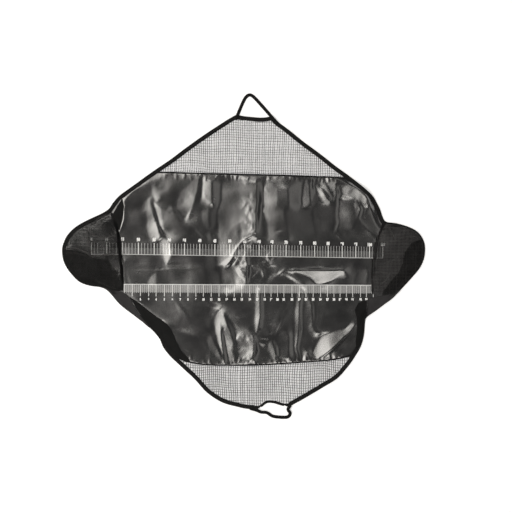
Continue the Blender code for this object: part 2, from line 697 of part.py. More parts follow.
# Flaps: the mesh from each seam to its loop, bound along its sides and its end.
bulging_outline = [*right_side, *left_side[::-1]]
net_border = inset_ring(bulging_outline, EDGE_TAPE_WIDTH + SEWN_GAP)
upper_net_outline = clip(cloth_outline, shifted(UPPER_SEAM, FOLD_GAP / 2), True)
upper_net_border = clip(net_border, shifted(UPPER_SEAM, NET_THREAD), True)
lower_net_outline = clip(cloth_outline, shifted(LOWER_SEAM, -FOLD_GAP / 2), False)
lower_net_border = clip(net_border, shifted(LOWER_SEAM, -NET_THREAD), False)
end_slot = FOLD_GAP / 2
upper_flap = [
    mesh_net("upper_mesh_flap", upper_net_outline, upper_net_border, upper_end, MESH),
    cross_tape("upper_flap_end_tape", inset(upper_end[::-1], 1, end_slot), 1, EDGE_TAPE_WIDTH, BINDING),
    edge_tape("upper_flap_left_edge_tape", left_side, -1, UPPER_SEAM, UPPER_LOOP_LINE, BINDING),
    edge_tape("upper_flap_right_edge_tape", right_side, 1, UPPER_SEAM, UPPER_LOOP_LINE, BINDING),
    tacks("upper_loop_left_tack", left_side, -1, False, THREAD),
    tacks("upper_loop_right_tack", right_side, 1, False, THREAD),
]
lower_flap = [
    mesh_net("lower_mesh_flap", lower_net_outline, lower_net_border, lower_end, MESH),
    cross_tape("lower_flap_end_tape", inset(lower_end, 1, end_slot), 1, EDGE_TAPE_WIDTH, BINDING),
    edge_tape("lower_flap_left_edge_tape", left_side, -1, LOWER_LOOP_LINE, LOWER_SEAM, BINDING),
    edge_tape("lower_flap_right_edge_tape", right_side, 1, LOWER_LOOP_LINE, LOWER_SEAM, BINDING),
    tacks("lower_loop_left_tack", left_side, -1, True, THREAD),
    tacks("lower_loop_right_tack", right_side, 1, True, THREAD),
]

# Loops that hang on the hook of a scale.
upper_strap = smooth_curve(sized(UPPER_LOOP_SHARES))
lower_strap = smooth_curve(sized(LOWER_LOOP_SHARES))
upper_loop = hanging_loop("upper_hanging_loop", upper_strap, UPPER_LOOP_LINE, True, STRAP)
lower_loop = hanging_loop("lower_hanging_loop", lower_strap, LOWER_LOOP_LINE, False, STRAP)

# Folds: each wing turns on the trough, each flap on its wing and each loop on its flap.
upper_wing_pivot = pivot("upper_wing_pivot", UPPER_FOLD)
lower_wing_pivot = pivot("lower_wing_pivot", LOWER_FOLD)
upper_flap_pivot = pivot("upper_flap_pivot", UPPER_SEAM, upper_wing_pivot)
lower_flap_pivot = pivot("lower_flap_pivot", LOWER_SEAM, lower_wing_pivot)
upper_loop_pivot = pivot("upper_loop_pivot", UPPER_LOOP_LINE, upper_flap_pivot)
lower_loop_pivot = pivot("lower_loop_pivot", LOWER_LOOP_LINE, lower_flap_pivot)
hold(upper_wing_pivot, *upper_wing)
hold(lower_wing_pivot, *lower_wing)
hold(upper_flap_pivot, *upper_flap)
hold(lower_flap_pivot, *lower_flap)
hold(upper_loop_pivot, upper_loop)
hold(lower_loop_pivot, lower_loop)
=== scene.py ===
import math
import random

import bmesh
import bpy
import numpy as np
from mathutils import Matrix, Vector
from mathutils.bvhtree import BVHTree


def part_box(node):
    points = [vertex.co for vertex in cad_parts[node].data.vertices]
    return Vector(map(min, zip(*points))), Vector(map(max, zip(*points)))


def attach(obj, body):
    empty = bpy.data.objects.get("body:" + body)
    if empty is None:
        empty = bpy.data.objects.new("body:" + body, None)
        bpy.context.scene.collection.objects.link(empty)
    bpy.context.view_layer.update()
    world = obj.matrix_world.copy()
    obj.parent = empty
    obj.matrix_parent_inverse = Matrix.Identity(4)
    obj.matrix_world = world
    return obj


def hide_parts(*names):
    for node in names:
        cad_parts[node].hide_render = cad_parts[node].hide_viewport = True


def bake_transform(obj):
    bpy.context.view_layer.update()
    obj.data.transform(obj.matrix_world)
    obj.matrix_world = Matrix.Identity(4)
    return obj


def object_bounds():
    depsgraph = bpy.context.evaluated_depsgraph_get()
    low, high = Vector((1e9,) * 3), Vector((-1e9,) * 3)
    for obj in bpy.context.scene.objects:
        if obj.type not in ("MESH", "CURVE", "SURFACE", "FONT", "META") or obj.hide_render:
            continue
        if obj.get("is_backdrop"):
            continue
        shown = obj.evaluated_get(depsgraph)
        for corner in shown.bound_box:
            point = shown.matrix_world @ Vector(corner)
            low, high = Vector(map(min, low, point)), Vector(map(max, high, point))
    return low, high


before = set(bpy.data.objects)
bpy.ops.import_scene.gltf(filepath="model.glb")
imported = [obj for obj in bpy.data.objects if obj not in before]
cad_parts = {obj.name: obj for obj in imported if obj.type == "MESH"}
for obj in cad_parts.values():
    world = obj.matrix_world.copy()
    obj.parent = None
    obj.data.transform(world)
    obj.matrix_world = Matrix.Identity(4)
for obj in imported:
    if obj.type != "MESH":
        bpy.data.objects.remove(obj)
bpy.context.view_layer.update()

# Studio: a white paper floor under the sling, soft boxes low round it, and a camera straight above.
# The camera sees 512 x 512 pixels of 3.2 mm on the floor.
PIXEL = 0.0032
ORIGIN_PX, ORIGIN_PY = 244.0, 255.75
CAMERA_HEIGHT = 3.8714
PAPER_GLOW = 0.38
ROOM_LIGHT, ROOM_SEEN, ROOM_MIRRORED = 0.2, 0.8, -0.13
BOX_TINT = (1.0, 0.965, 0.91)


def at(px, py):
    """Metres on the floor from a place in the 512-pixel frame."""
    return (px - ORIGIN_PX) * PIXEL, (ORIGIN_PY - py) * PIXEL


def in_frame(x, y):
    """The place in the 512-pixel frame from metres on the floor."""
    return ORIGIN_PX + x / PIXEL, ORIGIN_PY - y / PIXEL


def fill(tree, made, inputs):
    """Gives a node its inputs, by name or number, as values or as sockets to link."""
    for key, value in inputs.items():
        if isinstance(value, bpy.types.NodeSocket):
            tree.links.new(value, made.inputs[key])
        else:
            made.inputs[key].default_value = value
    return made


def node(tree, kind, inputs=None, **settings):
    """Adds a node to a tree."""
    made = tree.nodes.new(kind)
    for key, value in settings.items():
        setattr(made, key, value)
    return fill(tree, made, inputs or {})


def calc(tree, operation, *values, clamp=False):
    """The result of one Math node."""
    return node(tree, "ShaderNodeMath", dict(enumerate(values)), operation=operation, use_clamp=clamp).outputs[0]


def paper_material():
    """White paper that glows a little where the camera, a gloss or a clear piece sees it."""
    material = bpy.data.materials.new("white_paper")
    material.use_nodes = True
    tree = material.node_tree
    tree.nodes.clear()
    light_path = node(tree, "ShaderNodeLightPath")
    seen = calc(tree, "ADD", light_path.outputs["Is Camera Ray"], light_path.outputs["Is Glossy Ray"])
    seen = calc(tree, "ADD", seen, light_path.outputs["Is Transmission Ray"], clamp=True)
    glow = node(tree, "ShaderNodeEmission", {"Strength": calc(tree, "MULTIPLY", seen, PAPER_GLOW)})
    paper = node(tree, "ShaderNodeBsdfDiffuse", {"Color": (0.86, 0.86, 0.86, 1.0)})
    both = node(tree, "ShaderNodeAddShader", {0: glow.outputs[0], 1: paper.outputs[0]})
    node(tree, "ShaderNodeOutputMaterial", {"Surface": both.outputs[0]})
    return material


def show(name, mesh, *materials):
    """An object in the scene with its mesh and materials."""
    for material in materials:
        mesh.materials.append(material)
    thing = bpy.data.objects.new(name, mesh)
    bpy.context.scene.collection.objects.link(thing)
    return thing


floor_mesh = bpy.data.meshes.new("floor")
floor_mesh.from_pydata([(-9, -9, 0), (9, -9, 0), (9, 9, 0), (-9, 9, 0)], [], [(0, 1, 2, 3)])
show("floor", floor_mesh, paper_material())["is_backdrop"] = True

# The room: white where it is seen, and dimmer where the coating mirrors it.
world = bpy.data.worlds.new("studio")
world.use_nodes = True
bpy.context.scene.world = world
room = world.node_tree
light_path = node(room, "ShaderNodeLightPath")
seen = calc(room, "ADD", light_path.outputs["Is Camera Ray"], light_path.outputs["Is Transmission Ray"], clamp=True)
mirrored = calc(room, "MULTIPLY", light_path.outputs["Is Glossy Ray"], ROOM_MIRRORED)
strength = calc(room, "ADD", calc(room, "ADD", calc(room, "MULTIPLY", seen, ROOM_SEEN), mirrored), ROOM_LIGHT)
fill(room, room.nodes["Background"], {"Strength": strength, "Color": (1.0, 1.0, 1.0, 1.0)})

for name, place, size, power in (
    ("left_box", (-3.4, 0.5, 4.6), (5.0, 2.4), 165.0),
    ("left_inner_box", (-2.0, 0.4, 5.3), (4.4, 1.0), 18.0),
    ("right_box", (3.7, 0.4, 4.4), (4.8, 2.2), 18.0),
    ("right_inner_box", (2.1, 0.4, 5.3), (4.0, 1.1), 2.5),
    ("far_box", (0.2, 3.7, 4.4), (3.8, 2.0), 12.0),
    ("near_box", (-0.4, -3.3, 4.6), (3.0, 1.9), 74.0),
    ("far_left_box", (-1.1, 2.5, 5.0), (1.4, 1.1), 17.0),
):
    lamp = bpy.data.lights.new(name, "AREA")
    lamp.shape = "RECTANGLE"
    lamp.size, lamp.size_y = size
    lamp.energy = power
    lamp.color = BOX_TINT
    light = show(name, lamp)
    light.location = place
    light.rotation_mode = "QUATERNION"
    light.rotation_quaternion = (-Vector(place)).to_track_quat("-Z", "Y")
    light.visible_camera = False

lens = bpy.data.cameras.new("camera")
lens.lens, lens.sensor_width = 85.0, 36.0
camera = show("camera", lens)
camera.location = (*at(256, 256), CAMERA_HEIGHT)
bpy.context.scene.camera = camera
bpy.context.scene.view_settings.view_transform = "Standard"

# Cut of the sling: its silhouette as it lies, from the lower loop up each side to the upper loop.
# Every sheet, tape and thread below is laid out on it and then lifted by the lie of the cloth.
LEFT_EDGE = (
    (261, 406.5), (256.5, 409.2), (247, 408.8), (238, 407), (222, 402.3), (207, 392.6), (195, 379.6),
    (178.6, 364.2), (170, 356), (163.4, 347.5), (159, 338), (150, 328), (136, 317), (120, 304.5), (108.5, 291.5),
    (101, 287.4), (90, 285.8), (80.5, 282.5), (74, 277), (67.5, 269), (63.2, 260), (62, 250), (63.5, 243),
    (67.5, 235), (75.5, 227), (87, 220.3), (101, 213.8), (108.6, 209), (113.2, 202.5), (119, 196), (127, 190),
    (136, 183.6), (152, 172), (170, 159.8), (186, 147.8), (203, 135.7), (221, 123.8), (231, 117.6), (236.5, 114.6),
)
RIGHT_EDGE = (
    (284, 405.2), (289, 406.6), (296, 403), (303, 399.2), (321.6, 388.2), (337, 378.6), (347, 367.8), (354.5, 357.5),
    (361, 346), (364, 335), (365.2, 322), (367, 317.2), (377, 310), (385.5, 303.6), (393, 298), (404.3, 286),
    (415, 274.2), (420.4, 267), (424, 258.6), (425.2, 248), (423.4, 240), (418.4, 232.6), (410, 227.4), (397, 223.4),
    (386, 221.6), (382.4, 216), (380, 209), (376.6, 202.4), (373, 196.4), (366, 189.6), (352, 178), (336, 166.4),
    (320, 153.8), (304.5, 142.4), (289, 130), (281, 124), (275.6, 119.6), (272.4, 116.2),
)
LOWER_END = ((261, 406.5), (264.5, 403.6), (268, 402), (274, 402.4), (279, 403.9), (284, 405.2))
UPPER_END = ((236.5, 114.6), (243, 116), (252, 117), (263, 117.6), (272.4, 116.2))


def run_of(line):
    """How far along a line each of its points is."""
    return np.concatenate([[0], np.cumsum(np.linalg.norm(np.diff(line, axis=0), axis=1))])


def evenly(line, spacing):
    """The same line with its points in even steps."""
    run = run_of(line)
    steps = np.linspace(0, run[-1], max(int(round(run[-1] / spacing)), 1) + 1)
    return np.stack([np.interp(steps, run, line[:, axis]) for axis in range(line.shape[1])], axis=1)


def placed(places):
    """Places in the frame as an array of metres on the floor."""
    return np.array([at(*place) for place in places])


def smooth(places, spacing=0.004):
    """A Catmull-Rom curve through places in the frame, as metres, in even steps."""
    knots = placed(places)
    knots = np.array([knots[0] * 2 - knots[1], *knots, knots[-1] * 2 - knots[-2]])
    t = np.linspace(0, 1, 16, endpoint=False)[:, None]
    curve = []
    for a, b, c, d in zip(knots, knots[1:], knots[2:], knots[3:]):
        curve.append((2 * b + (c - a) * t + (2 * a - 5 * b + 4 * c - d) * t**2 + (3 * b - a - 3 * c + d) * t**3) / 2)
    return evenly(np.concatenate([*curve, knots[-2:-1]]), spacing)


left_edge, right_edge = smooth(LEFT_EDGE), smooth(RIGHT_EDGE)
lower_end, upper_end = smooth(LOWER_END), smooth(UPPER_END)
silhouette = np.concatenate([lower_end[:-1], right_edge[:-1], upper_end[::-1][:-1], left_edge[::-1][:-1]])

# A grid over the whole sling, on which the lie of the cloth is worked out.
GRID = 0.0025
GRID_COUNTS = (480, 432)
SPANS = ((-0.6, 0.6), (-0.54, 0.54))
FAR = 0.055
grid_x, grid_y = (np.arange(count) * GRID + span[0] for count, span in zip(GRID_COUNTS, SPANS))
mesh_x, mesh_y = np.meshgrid(grid_x, grid_y, indexing="ij")


def inside(x, y, ring):
    """Which places lie inside a closed line."""
    x, y = np.asarray(x, float), np.asarray(y, float)
    found = np.zeros(x.shape, bool)
    for (x0, y0), (x1, y1) in zip(ring, np.roll(ring, -1, axis=0)):
        if y0 != y1:
            found ^= ((y0 > y) != (y1 > y)) & (x < x0 + (y - y0) * (x1 - x0) / (y1 - y0))
    return found


def near(ends, reach):
    """The part of the grid that lies within reach of a line's ends, with its places."""
    part = tuple(
        slice(max(int((min(pair) - reach - first) / GRID), 0), int((max(pair) + reach - first) / GRID) + 2)
        for pair, first in zip(zip(*ends), (grid_x[0], grid_y[0]))
    )
    return part, mesh_x[part], mesh_y[part]


def beside(x, y, ends):
    """How far places are from a short line, how far along it, and whether to its left."""
    (x0, y0), (x1, y1) = ends
    dx, dy = x1 - x0, y1 - y0
    t = np.clip(((x - x0) * dx + (y - y0) * dy) / max(dx * dx + dy * dy, 1e-12), 0, 1)
    return np.hypot(x - x0 - t * dx, y - y0 - t * dy), t, dx * (y - y0) - dy * (x - x0) > 0


def rim_distance():
    """How far each place of the grid is inside the silhouette, less than 0 outside it."""
    nearest = np.full(mesh_x.shape, FAR)
    for ends in zip(silhouette, np.roll(silhouette, -1, axis=0)):
        part, x, y = near(ends, FAR)
        nearest[part] = np.minimum(nearest[part], beside(x, y, ends)[0])
    return np.where(inside(mesh_x, mesh_y, silhouette), nearest, -nearest)


rim_grid = rim_distance()


def sampled(grid, x, y, corner=(grid_x[0], grid_y[0]), steps=(GRID, GRID)):
    """The values of a grid at places between its points."""
    u = np.clip((np.asarray(x, float) - corner[0]) / steps[0], 0, grid.shape[0] - 1.001)
    v = np.clip((np.asarray(y, float) - corner[1]) / steps[1], 0, grid.shape[1] - 1.001)
    i, j = u.astype(int), v.astype(int)
    s, t = u - i, v - j
    low = grid[i, j] * (1 - s) + grid[i + 1, j] * s
    high = grid[i, j + 1] * (1 - s) + grid[i + 1, j + 1] * s
    return low * (1 - t) + high * t


def within(x, y, inset):
    """Which places lie inside the silhouette by more than an inset."""
    return sampled(rim_grid, x, y) > inset


# Seams of cloth and mesh, run across the sling where the panel ends.
UPPER_SEAM = ((152, 172.2), (200, 173.6), (250, 174.8), (300, 176.2), (350, 178.2))
LOWER_SEAM = (
    (168.5, 351), (177, 357), (186, 361), (202, 364), (222, 364.9), (260, 364.6), (301, 362), (332, 359.4), (356, 354.4),
)
upper_seam, lower_seam = smooth(UPPER_SEAM), smooth(LOWER_SEAM)


def beyond(x, y, seam):
    """How far places lie above a seam."""
    return y - np.interp(x, seam[:, 0], seam[:, 1])


def in_panel(x, y):
    return (beyond(x, y, lower_seam) > 0) & (beyond(x, y, upper_seam) < 0)


# Lie of the cloth: how high it stands off the floor. Its folds are flat faces that meet in creases, listed one by one.
# Each face has its corners in the frame with the degrees that the cloth rises there, then the way it rises
# (0 is east, 90 north). The height that fits the slopes of all faces and creases best is found at once.
FACES = (
    # upper band
    (((151, 186, 11), (154.5, 185, 8), (160, 199, 4), (156, 202, 10)), 0),
    (((143.5, 202, 4), (149.5, 199.5, 8), (150.5, 209, 9), (145, 209.5, 6)), 0),
    (((148, 211, 6), (152.5, 211, 9), (155.5, 224, 10), (160, 239, 10), (150.5, 239, 11), (147, 226, 7)), 0),
    (((153.5, 203.5, 13), (161, 208, 9), (166, 219, 6), (160, 228, 9), (156, 220, 14)), 0),
    (((161, 208, 5), (172, 212, 3), (180, 220, 1), (164, 229, 4)), 0),
    (((154, 202.5, 9), (166, 203.5, 6), (178, 214, 4), (170, 213, 8), (160, 207, 10)), 230),
    (((200, 176.5, 7), (197, 190, 7.5), (191, 208, 6.5), (185, 218.5, 4), (176, 206, 5.5), (180, 193, 5),
        (190, 184.5, 6)), 0),
    (((201.5, 176, 12.5), (205.5, 180.5, 11), (211.5, 182.5, 8), (212, 203, 4.5), (205.5, 197, 9)), 0),
    (((202, 210, 3), (208, 210, 3), (209, 228, 3), (203, 224, 3)), 0),
    (((222, 184, 4.5), (240, 184, 5.5), (240, 262, 8.5), (217, 262, 9), (219, 235, 9), (217.5, 213, 6),
        (222, 200, 5.5)), 0),
    (((240, 184, 5.5), (257, 184, 7), (256, 232, 11.5), (250, 239, 12), (240, 243, 9)), 0),
    (((262.8, 188, 10.5), (269.5, 181.5, 10), (276.5, 190, 9), (278, 203, 9), (276, 207, 9), (266, 206, 10.5),
        (262.8, 200, 10.5)), 0),
    (((262, 210, 11), (266, 206, 11), (276, 206, 9.5), (283, 211, 6), (284, 220, 5), (268, 222, 7.5),
        (265, 215, 9.5)), 0),
    (((268, 222, 7), (284, 220, 4), (288, 240, 3), (268.5, 240, 7.5)), 0),
    (((277, 190, 5), (287, 190, 3), (288, 206, 3), (277, 206, 5)), 0),
    (((305, 179, 12), (309, 184, 10.5), (310, 204, 9.5), (302, 204.5, 9.5), (303, 190, 10.5)), 0),
    (((314, 184.5, 13.5), (322, 191, 13), (331, 203, 11), (326, 206, 13), (320, 196, 15)), 0),
    (((317, 178.5, 13.5), (322, 179, 11), (328, 190, 10), (333, 198, 12), (330, 200, 13), (323, 188, 14)), 0),
    (((324, 178.5, 11), (330, 179, 12), (337, 189, 13), (335, 200, 13), (331, 196, 12)), 0),
    (((313, 208, 4.5), (326, 206, 6), (332, 214, 6), (330, 226, 5), (316, 232, 4.5)), 0),
    (((338.3, 198, 10), (340, 198, 8.5), (339.5, 228, 7.5), (337.8, 229, 10)), 0),
    (((340, 200, 9), (352, 200, 9), (355, 215, 9), (352, 228, 8), (340, 228, 8.5)), 0),
    (((337, 189, 13), (345, 188, 16.5), (360, 190, 18), (367, 194, 18.5), (366, 207, 16.5), (360, 206, 18),
        (354.5, 197, 17.5), (345, 195.5, 16.5)), 15),
    (((355, 199, 14.5), (358.5, 207, 15.5), (359, 213, 14.5), (357.5, 218.5, 12.5), (355.5, 212, 14.5)), 10),
    (((363, 207, 11), (366, 207, 10), (364.5, 214, 10), (361.5, 218, 11)), 10),
    # middle band
    (((160, 240, 5), (168, 240, 7), (171, 254, 11), (166.5, 265, 13), (164.5, 258, 9)), 0),
    (((124.5, 262, 1), (134, 262, 1), (134, 283, 1), (124.5, 283, 1)), 180),
    (((148, 283, 5), (152, 275, 5.5), (156, 273, 7), (156.5, 284, 6)), 0),
    (((222, 263, 13), (228, 258, 13), (238, 246, 12), (242, 243, 11), (236, 254, 13), (226, 266, 13)), -30),
    (((232, 266, 9), (240, 258, 10), (246, 256, 11), (247, 270, 10.5), (246, 286, 10.5), (236, 286, 9),
        (232, 275, 9)), 0),
    (((222, 266, 4.5), (232, 266, 6), (236, 286, 6), (222, 286, 4.5)), 0),
    (((292, 270, 14), (343, 270.5, 19.5), (338, 275, 20), (332, 279.5, 20), (322, 284, 19), (316, 284, 18.5),
        (311, 277, 17.5), (300, 273.5, 14)), 90),
    (((358, 273, 6.5), (367, 271, 9), (366, 284, 9), (355, 284, 6.5)), 0),
    # lower band
    (((158, 316, 2), (176, 302, 2.5), (190, 323, 3), (182, 327, 3)), 0),
    (((175, 303, 5), (184, 312, 6.5), (189, 321, 3), (184, 320, 3), (178, 312, 6)), 0),
    (((219.5, 309.5, 10), (221, 320, 11), (219.5, 330, 11), (221.5, 345, 12), (225, 362, 13), (223, 362, 12),
        (219.5, 348, 12),
      (216, 330, 11.5), (213.5, 319, 11)), 0),
    (((219.5, 309.5, 11), (224, 317, 9.5), (229.5, 330, 10), (233, 343, 10), (236, 357, 10), (228.5, 361, 11),
        (226, 345, 10),
      (222, 328, 11), (220, 320, 11)), 0),
    (((208, 336, 5), (212, 340, 6), (218, 350, 7.5), (223, 362, 9), (218, 358, 8), (212, 350, 6), (207, 342, 5)), 0),
    (((236, 340, 6), (241, 336, 8), (249, 331, 9), (254, 337, 9), (254, 350, 9), (252, 359, 9), (238, 358, 11),
        (234, 348, 8)), 0),
    (((256, 290, 11), (260, 290, 11), (259.7, 318, 11), (258.5, 328, 11), (255, 335, 11), (255, 322, 11),
        (255.8, 305, 11)), 0),
    (((283, 301, 4), (285, 303, 4), (278, 318, 5), (274, 330, 4), (270, 333, 4), (273, 320, 4)), 0),
    (((275, 338, 3), (288, 334, 5), (288, 358, 6), (282, 356, 5)), 0),
    (((268, 341, 9), (271.5, 341, 8), (276, 355, 11), (274, 361, 11), (268, 350, 11)), 0),
    (((297.5, 292, 10.5), (301, 292, 12.5), (299.5, 305, 11.5), (299, 330, 11), (296.5, 348, 10), (300, 360, 9),
        (298, 360, 9),
      (294, 350, 10), (294.5, 330, 11), (295.8, 305, 11)), 0),
    (((303, 291, 10.5), (308, 297, 10.5), (311.5, 305, 10), (312.5, 326, 9.5), (309.5, 318, 9.5), (306.5, 303, 9.5)),
        0),
    (((316, 304, 4.5), (325, 303, 6), (322, 318, 5.5), (315, 322, 4.5)), 0),
    (((355, 325.5, 20), (350, 332, 21), (337, 343, 20), (325, 351, 19.5), (318, 359, 18), (313, 352, 17),
        (322, 334.5, 17.5),
      (335, 331, 18), (346, 327.5, 20)), -32),
    (((334, 356, 8), (346, 343, 9.5), (360, 330, 9.5), (361, 345, 12), (354, 352, 11.5), (342, 357, 10.5)), 150),
    (((123, 200, 2.5), (136, 191, 2.5), (150, 181, 2.5), (150, 190, 2), (148, 198, 2), (135, 201, 2)), 180),
    (((164, 328, 1), (190, 336, 3), (208, 345, 3), (204, 357, 3), (186, 353, 2), (170, 342, 1)), 180),
    (((314, 321, 1.5), (322, 317, 1.5), (335, 317, 1), (350, 321, 1), (346, 328, 2), (335, 330, 2), (322, 333.5, 2)),
        -32),
    (((302, 358, 11.5), (307, 353, 11.5), (309, 358, 11.5), (304, 361, 11.5)), 0),
)
# Creases, with the slopes of a narrow strip of cloth to the right and to the left of their run, as bands of
# (degrees, width in pixels) from the crease outwards. A slope above zero rises to the crease.
CREASES = (
    (((153, 205), (155, 215), (157.5, 224), (161, 233), (167, 239)), (), ((30, 1.6),)),
    (((201, 176), (199, 188), (197.5, 195), (193, 206), (189, 217)), (), ((5, 3.5),)),
    (((260, 180), (259.5, 190), (259, 200), (257, 208), (256.5, 225), (255.8, 235)), (), ((30, 3),)),
    (((254.5, 234), (243, 241.5), (238, 247), (232, 256)), ((14, 2),), ((35, 1.8),)),
    (((236, 254), (230, 262), (226, 267)), (), ((30, 3),)),
    (((309.5, 180), (310.5, 190), (310.5, 204)), (), ((20, 1.6),)),
    (((314.5, 183.5), (322.5, 190), (331, 202)), (), ((22, 1.5),)),
    (((322.5, 179), (328.5, 189.5), (334, 198)), (), ((18, 1.3),)),
    (((338, 189), (337.5, 200), (336.8, 212), (337.3, 224), (333, 233)), (), ((26, 1.5),)),
    (((359, 203), (360.5, 210), (358.5, 218)), (), ((25, 2.5),)),
    (((357.5, 218), (362, 225), (369, 231.5), (376, 236.5)), ((12, 1.6),), ((9, 3),)),
    (((335.5, 233.5), (342.5, 239.5)), ((15, 1.4),), ((15, 1.4),)),
    (((196, 229), (206, 238.5)), ((9, 1.2),), ((9, 1.2),)),
    (((212, 234), (219, 241)), ((13, 1.3),), ((13, 1.3),)),
    (((122.5, 198), (135, 189.5), (148, 181)), ((7, 1.3),), ((7, 1.3),)),
    (((122.3, 197), (124.6, 205), (123.6, 221), (119.4, 232)), ((30, 3),), ((16, 1.3),)),
    (((130, 263.8), (150, 264.6), (170, 266), (202, 267)), ((-3, 1.4),), ((6, 1.5),)),
    (((133, 271.2), (157, 271.2), (170, 269.5), (200, 268.8)), ((8, 1.8),), ((8, 1.3),)),
    (((247, 256), (247.3, 270), (246.6, 285)), (), ((30, 2.4),)),
    (((288, 270), (315, 269.7), (344, 270.5)), (), ((32, 1.6),)),
    (((284, 273), (292, 277.5), (302, 284.5)), ((18, 1.3),), ((-8, 3),)),
    (((259, 265), (263, 270), (264.5, 278)), ((16, 1.5),), ((16, 1.5),)),
    (((276, 277), (285.5, 270)), ((14, 1.6),), ((14, 1.6),)),
    (((222, 328), (221.8, 336), (223, 346), (226, 361)), (), ((35, 2.2),)),
    (((224.5, 316), (230, 329), (233.5, 342), (236.5, 356)), (), ((12, 3),)),
    (((212.5, 339), (218.5, 349), (223.5, 361)), (), ((15, 2),)),
    (((254.6, 336), (255, 350), (252.5, 360)), (), ((32, 3),)),
    (((260.5, 290), (260.5, 318), (259, 328), (256, 336)), (), ((30, 1.6),)),
    (((255.5, 336), (262, 340), (269, 339.5), (274, 335)), ((-5, 2.5),), ((-14, 1.5),)),
    (((287, 311), (281, 324), (274.8, 337)), ((9, 1.5),), ((9, 1.5),)),
    (((276.5, 344), (277, 356), (275, 361)), (), ((20, 2),)),
    (((301.3, 291), (300, 305), (299.5, 330), (297, 348), (300.5, 360)), (), ((30, 1.8),)),
    (((308.5, 296), (312, 305), (313, 324)), (), ((15, 1.8),)),
    (((313, 324), (316, 331.5), (322, 334)), (), ((9, 1.6),)),
    (((357, 325), (345.5, 336), (333, 348.5), (317, 360)), (), ((24, 2.5), (8, 5))),
    (((126, 294), (143, 306), (160, 320)), ((20, 2.5),), ()), (((177, 303), (184, 311), (189, 319)), (), ((6, 2),)),
    (((184, 348), (192, 352)), ((5, 1.5),), ((5, 1.5),)), (((203, 343), (208, 349)), ((5, 1.5),), ((5, 1.5),)),
)
# Zones of crumpled cloth: middle and spread in the frame, number of small creases, their slopes and lengths.
CRUMPLED = (
    ((254, 262), (13, 13), 70, (6, 17), (2, 7)), ((248, 222), (6, 17), 36, (4, 10), (2, 5)),
    ((243, 348), (8, 8), 26, (4, 10), (2, 5)),
    ((330, 192), (9, 8), 14, (4, 9), (2, 5)), ((246, 270), (75, 55), 70, (1, 3.5), (4, 14)),
)
# Places in the frame where the cloth is drawn tight at its rim, and where it lies flat, each with its reach.
RAISED_RIM = (361, 193, 0.035)
TIGHT_RIM = ((133, 190, 0.04), (361, 328, 0.04), (356, 342, 0.04))
FLAT_AT = ((115, 206, 0.035), (150, 178, 0.036), (165, 347, 0.03))
REST = 0.0021
SLACK_SPAN = 0.14
SOFTENING = 0.0015
FITTING_ROUNDS = 40
FACE_BOOST, CREASE_BOOST = 0.22, 0.09


def slopes_on_face(slope_x, slope_y, corners, way):
    """Sets the slopes on one face, in even change from corner to corner."""
    ring = placed(corner[:2] for corner in corners)
    degrees = np.array([corner[2] for corner in corners], float)
    fit = np.linalg.lstsq(np.column_stack([np.ones(len(ring)), ring]), degrees, rcond=None)[0]
    part, x, y = near((ring.min(axis=0), ring.max(axis=0)), GRID)
    taken = inside(x, y, ring)
    rise = np.tan(np.radians(np.clip(fit[0] + fit[1] * x + fit[2] * y, degrees.min(), degrees.max())))
    slope_x[part] = np.where(taken, rise * math.cos(math.radians(way)), slope_x[part])
    slope_y[part] = np.where(taken, rise * math.sin(math.radians(way)), slope_y[part])


def slopes_beside(slope_x, slope_y, places, right, left):
    """Adds the slopes beside one crease, dying away at its ends."""
    line = placed(places)
    run = run_of(line)
    reach = max(sum(width for _, width in bands) for bands in (right, left)) * PIXEL
    nearest = np.full(mesh_x.shape, 9.0)
    rise_x, rise_y = np.zeros(mesh_x.shape), np.zeros(mesh_x.shape)
    for index, ends in enumerate(zip(line, line[1:])):
        part, x, y = near(ends, reach)
        away, t, on_left = beside(x, y, ends)
        swell = np.sin(np.pi * (0.05 + 0.9 * (run[index] + t * (run[index + 1] - run[index])) / run[-1])) ** 0.6
        spread = 0.35 + 0.65 * swell
        slope = np.zeros(x.shape)
        for side, bands in ((~on_left, right), (on_left, left)):
            inner = 0.0
            for degrees, width in bands:
                outer = inner + width * PIXEL
                band = side & (away >= inner * spread) & (away < outer * spread)
                slope = np.where(band, math.tan(math.radians(degrees)), slope)
                inner = outer
        (x0, y0), (x1, y1) = ends
        across = np.array([y1 - y0, x0 - x1]) / math.hypot(x1 - x0, y1 - y0)
        toward = np.where(on_left, 1.0, -1.0) * slope * swell
        closer = away < nearest[part]
        nearest[part] = np.where(closer, away, nearest[part])
        rise_x[part] = np.where(closer, toward * across[0], rise_x[part])
        rise_y[part] = np.where(closer, toward * across[1], rise_y[part])
    slope_x += rise_x
    slope_y += rise_y


wave_x = 2 * np.pi * np.fft.fftfreq(len(grid_x), GRID)[:, None]
wave_y = 2 * np.pi * np.fft.fftfreq(len(grid_y), GRID)[None, :]
wave_square = wave_x**2 + wave_y**2
wave_square[0, 0] = 1


def height_of(slope_x, slope_y):
    """The height whose slopes fit given ones best, without its widest swells."""
    wave = -1j * (wave_x * np.fft.fft2(slope_x) + wave_y * np.fft.fft2(slope_y)) / wave_square
    return np.real(np.fft.ifft2(wave * (1 - np.exp(-wave_square * SLACK_SPAN**2 / 2))))


def ground_under(height):
    """A smooth surface that touches a height where it lies lowest."""
    low = np.where(rim_grid > 0, height, height[rim_grid > 0].max())
    for axis in (0, 1):
        for shift in (1, 2, 4, 8, 16, 5):
            low = np.minimum(low, np.minimum(np.roll(low, shift, axis), np.roll(low, -shift, axis)))
    return np.real(np.fft.ifft2(np.fft.fft2(low) * np.exp(-wave_square * 0.05**2 / 2)))


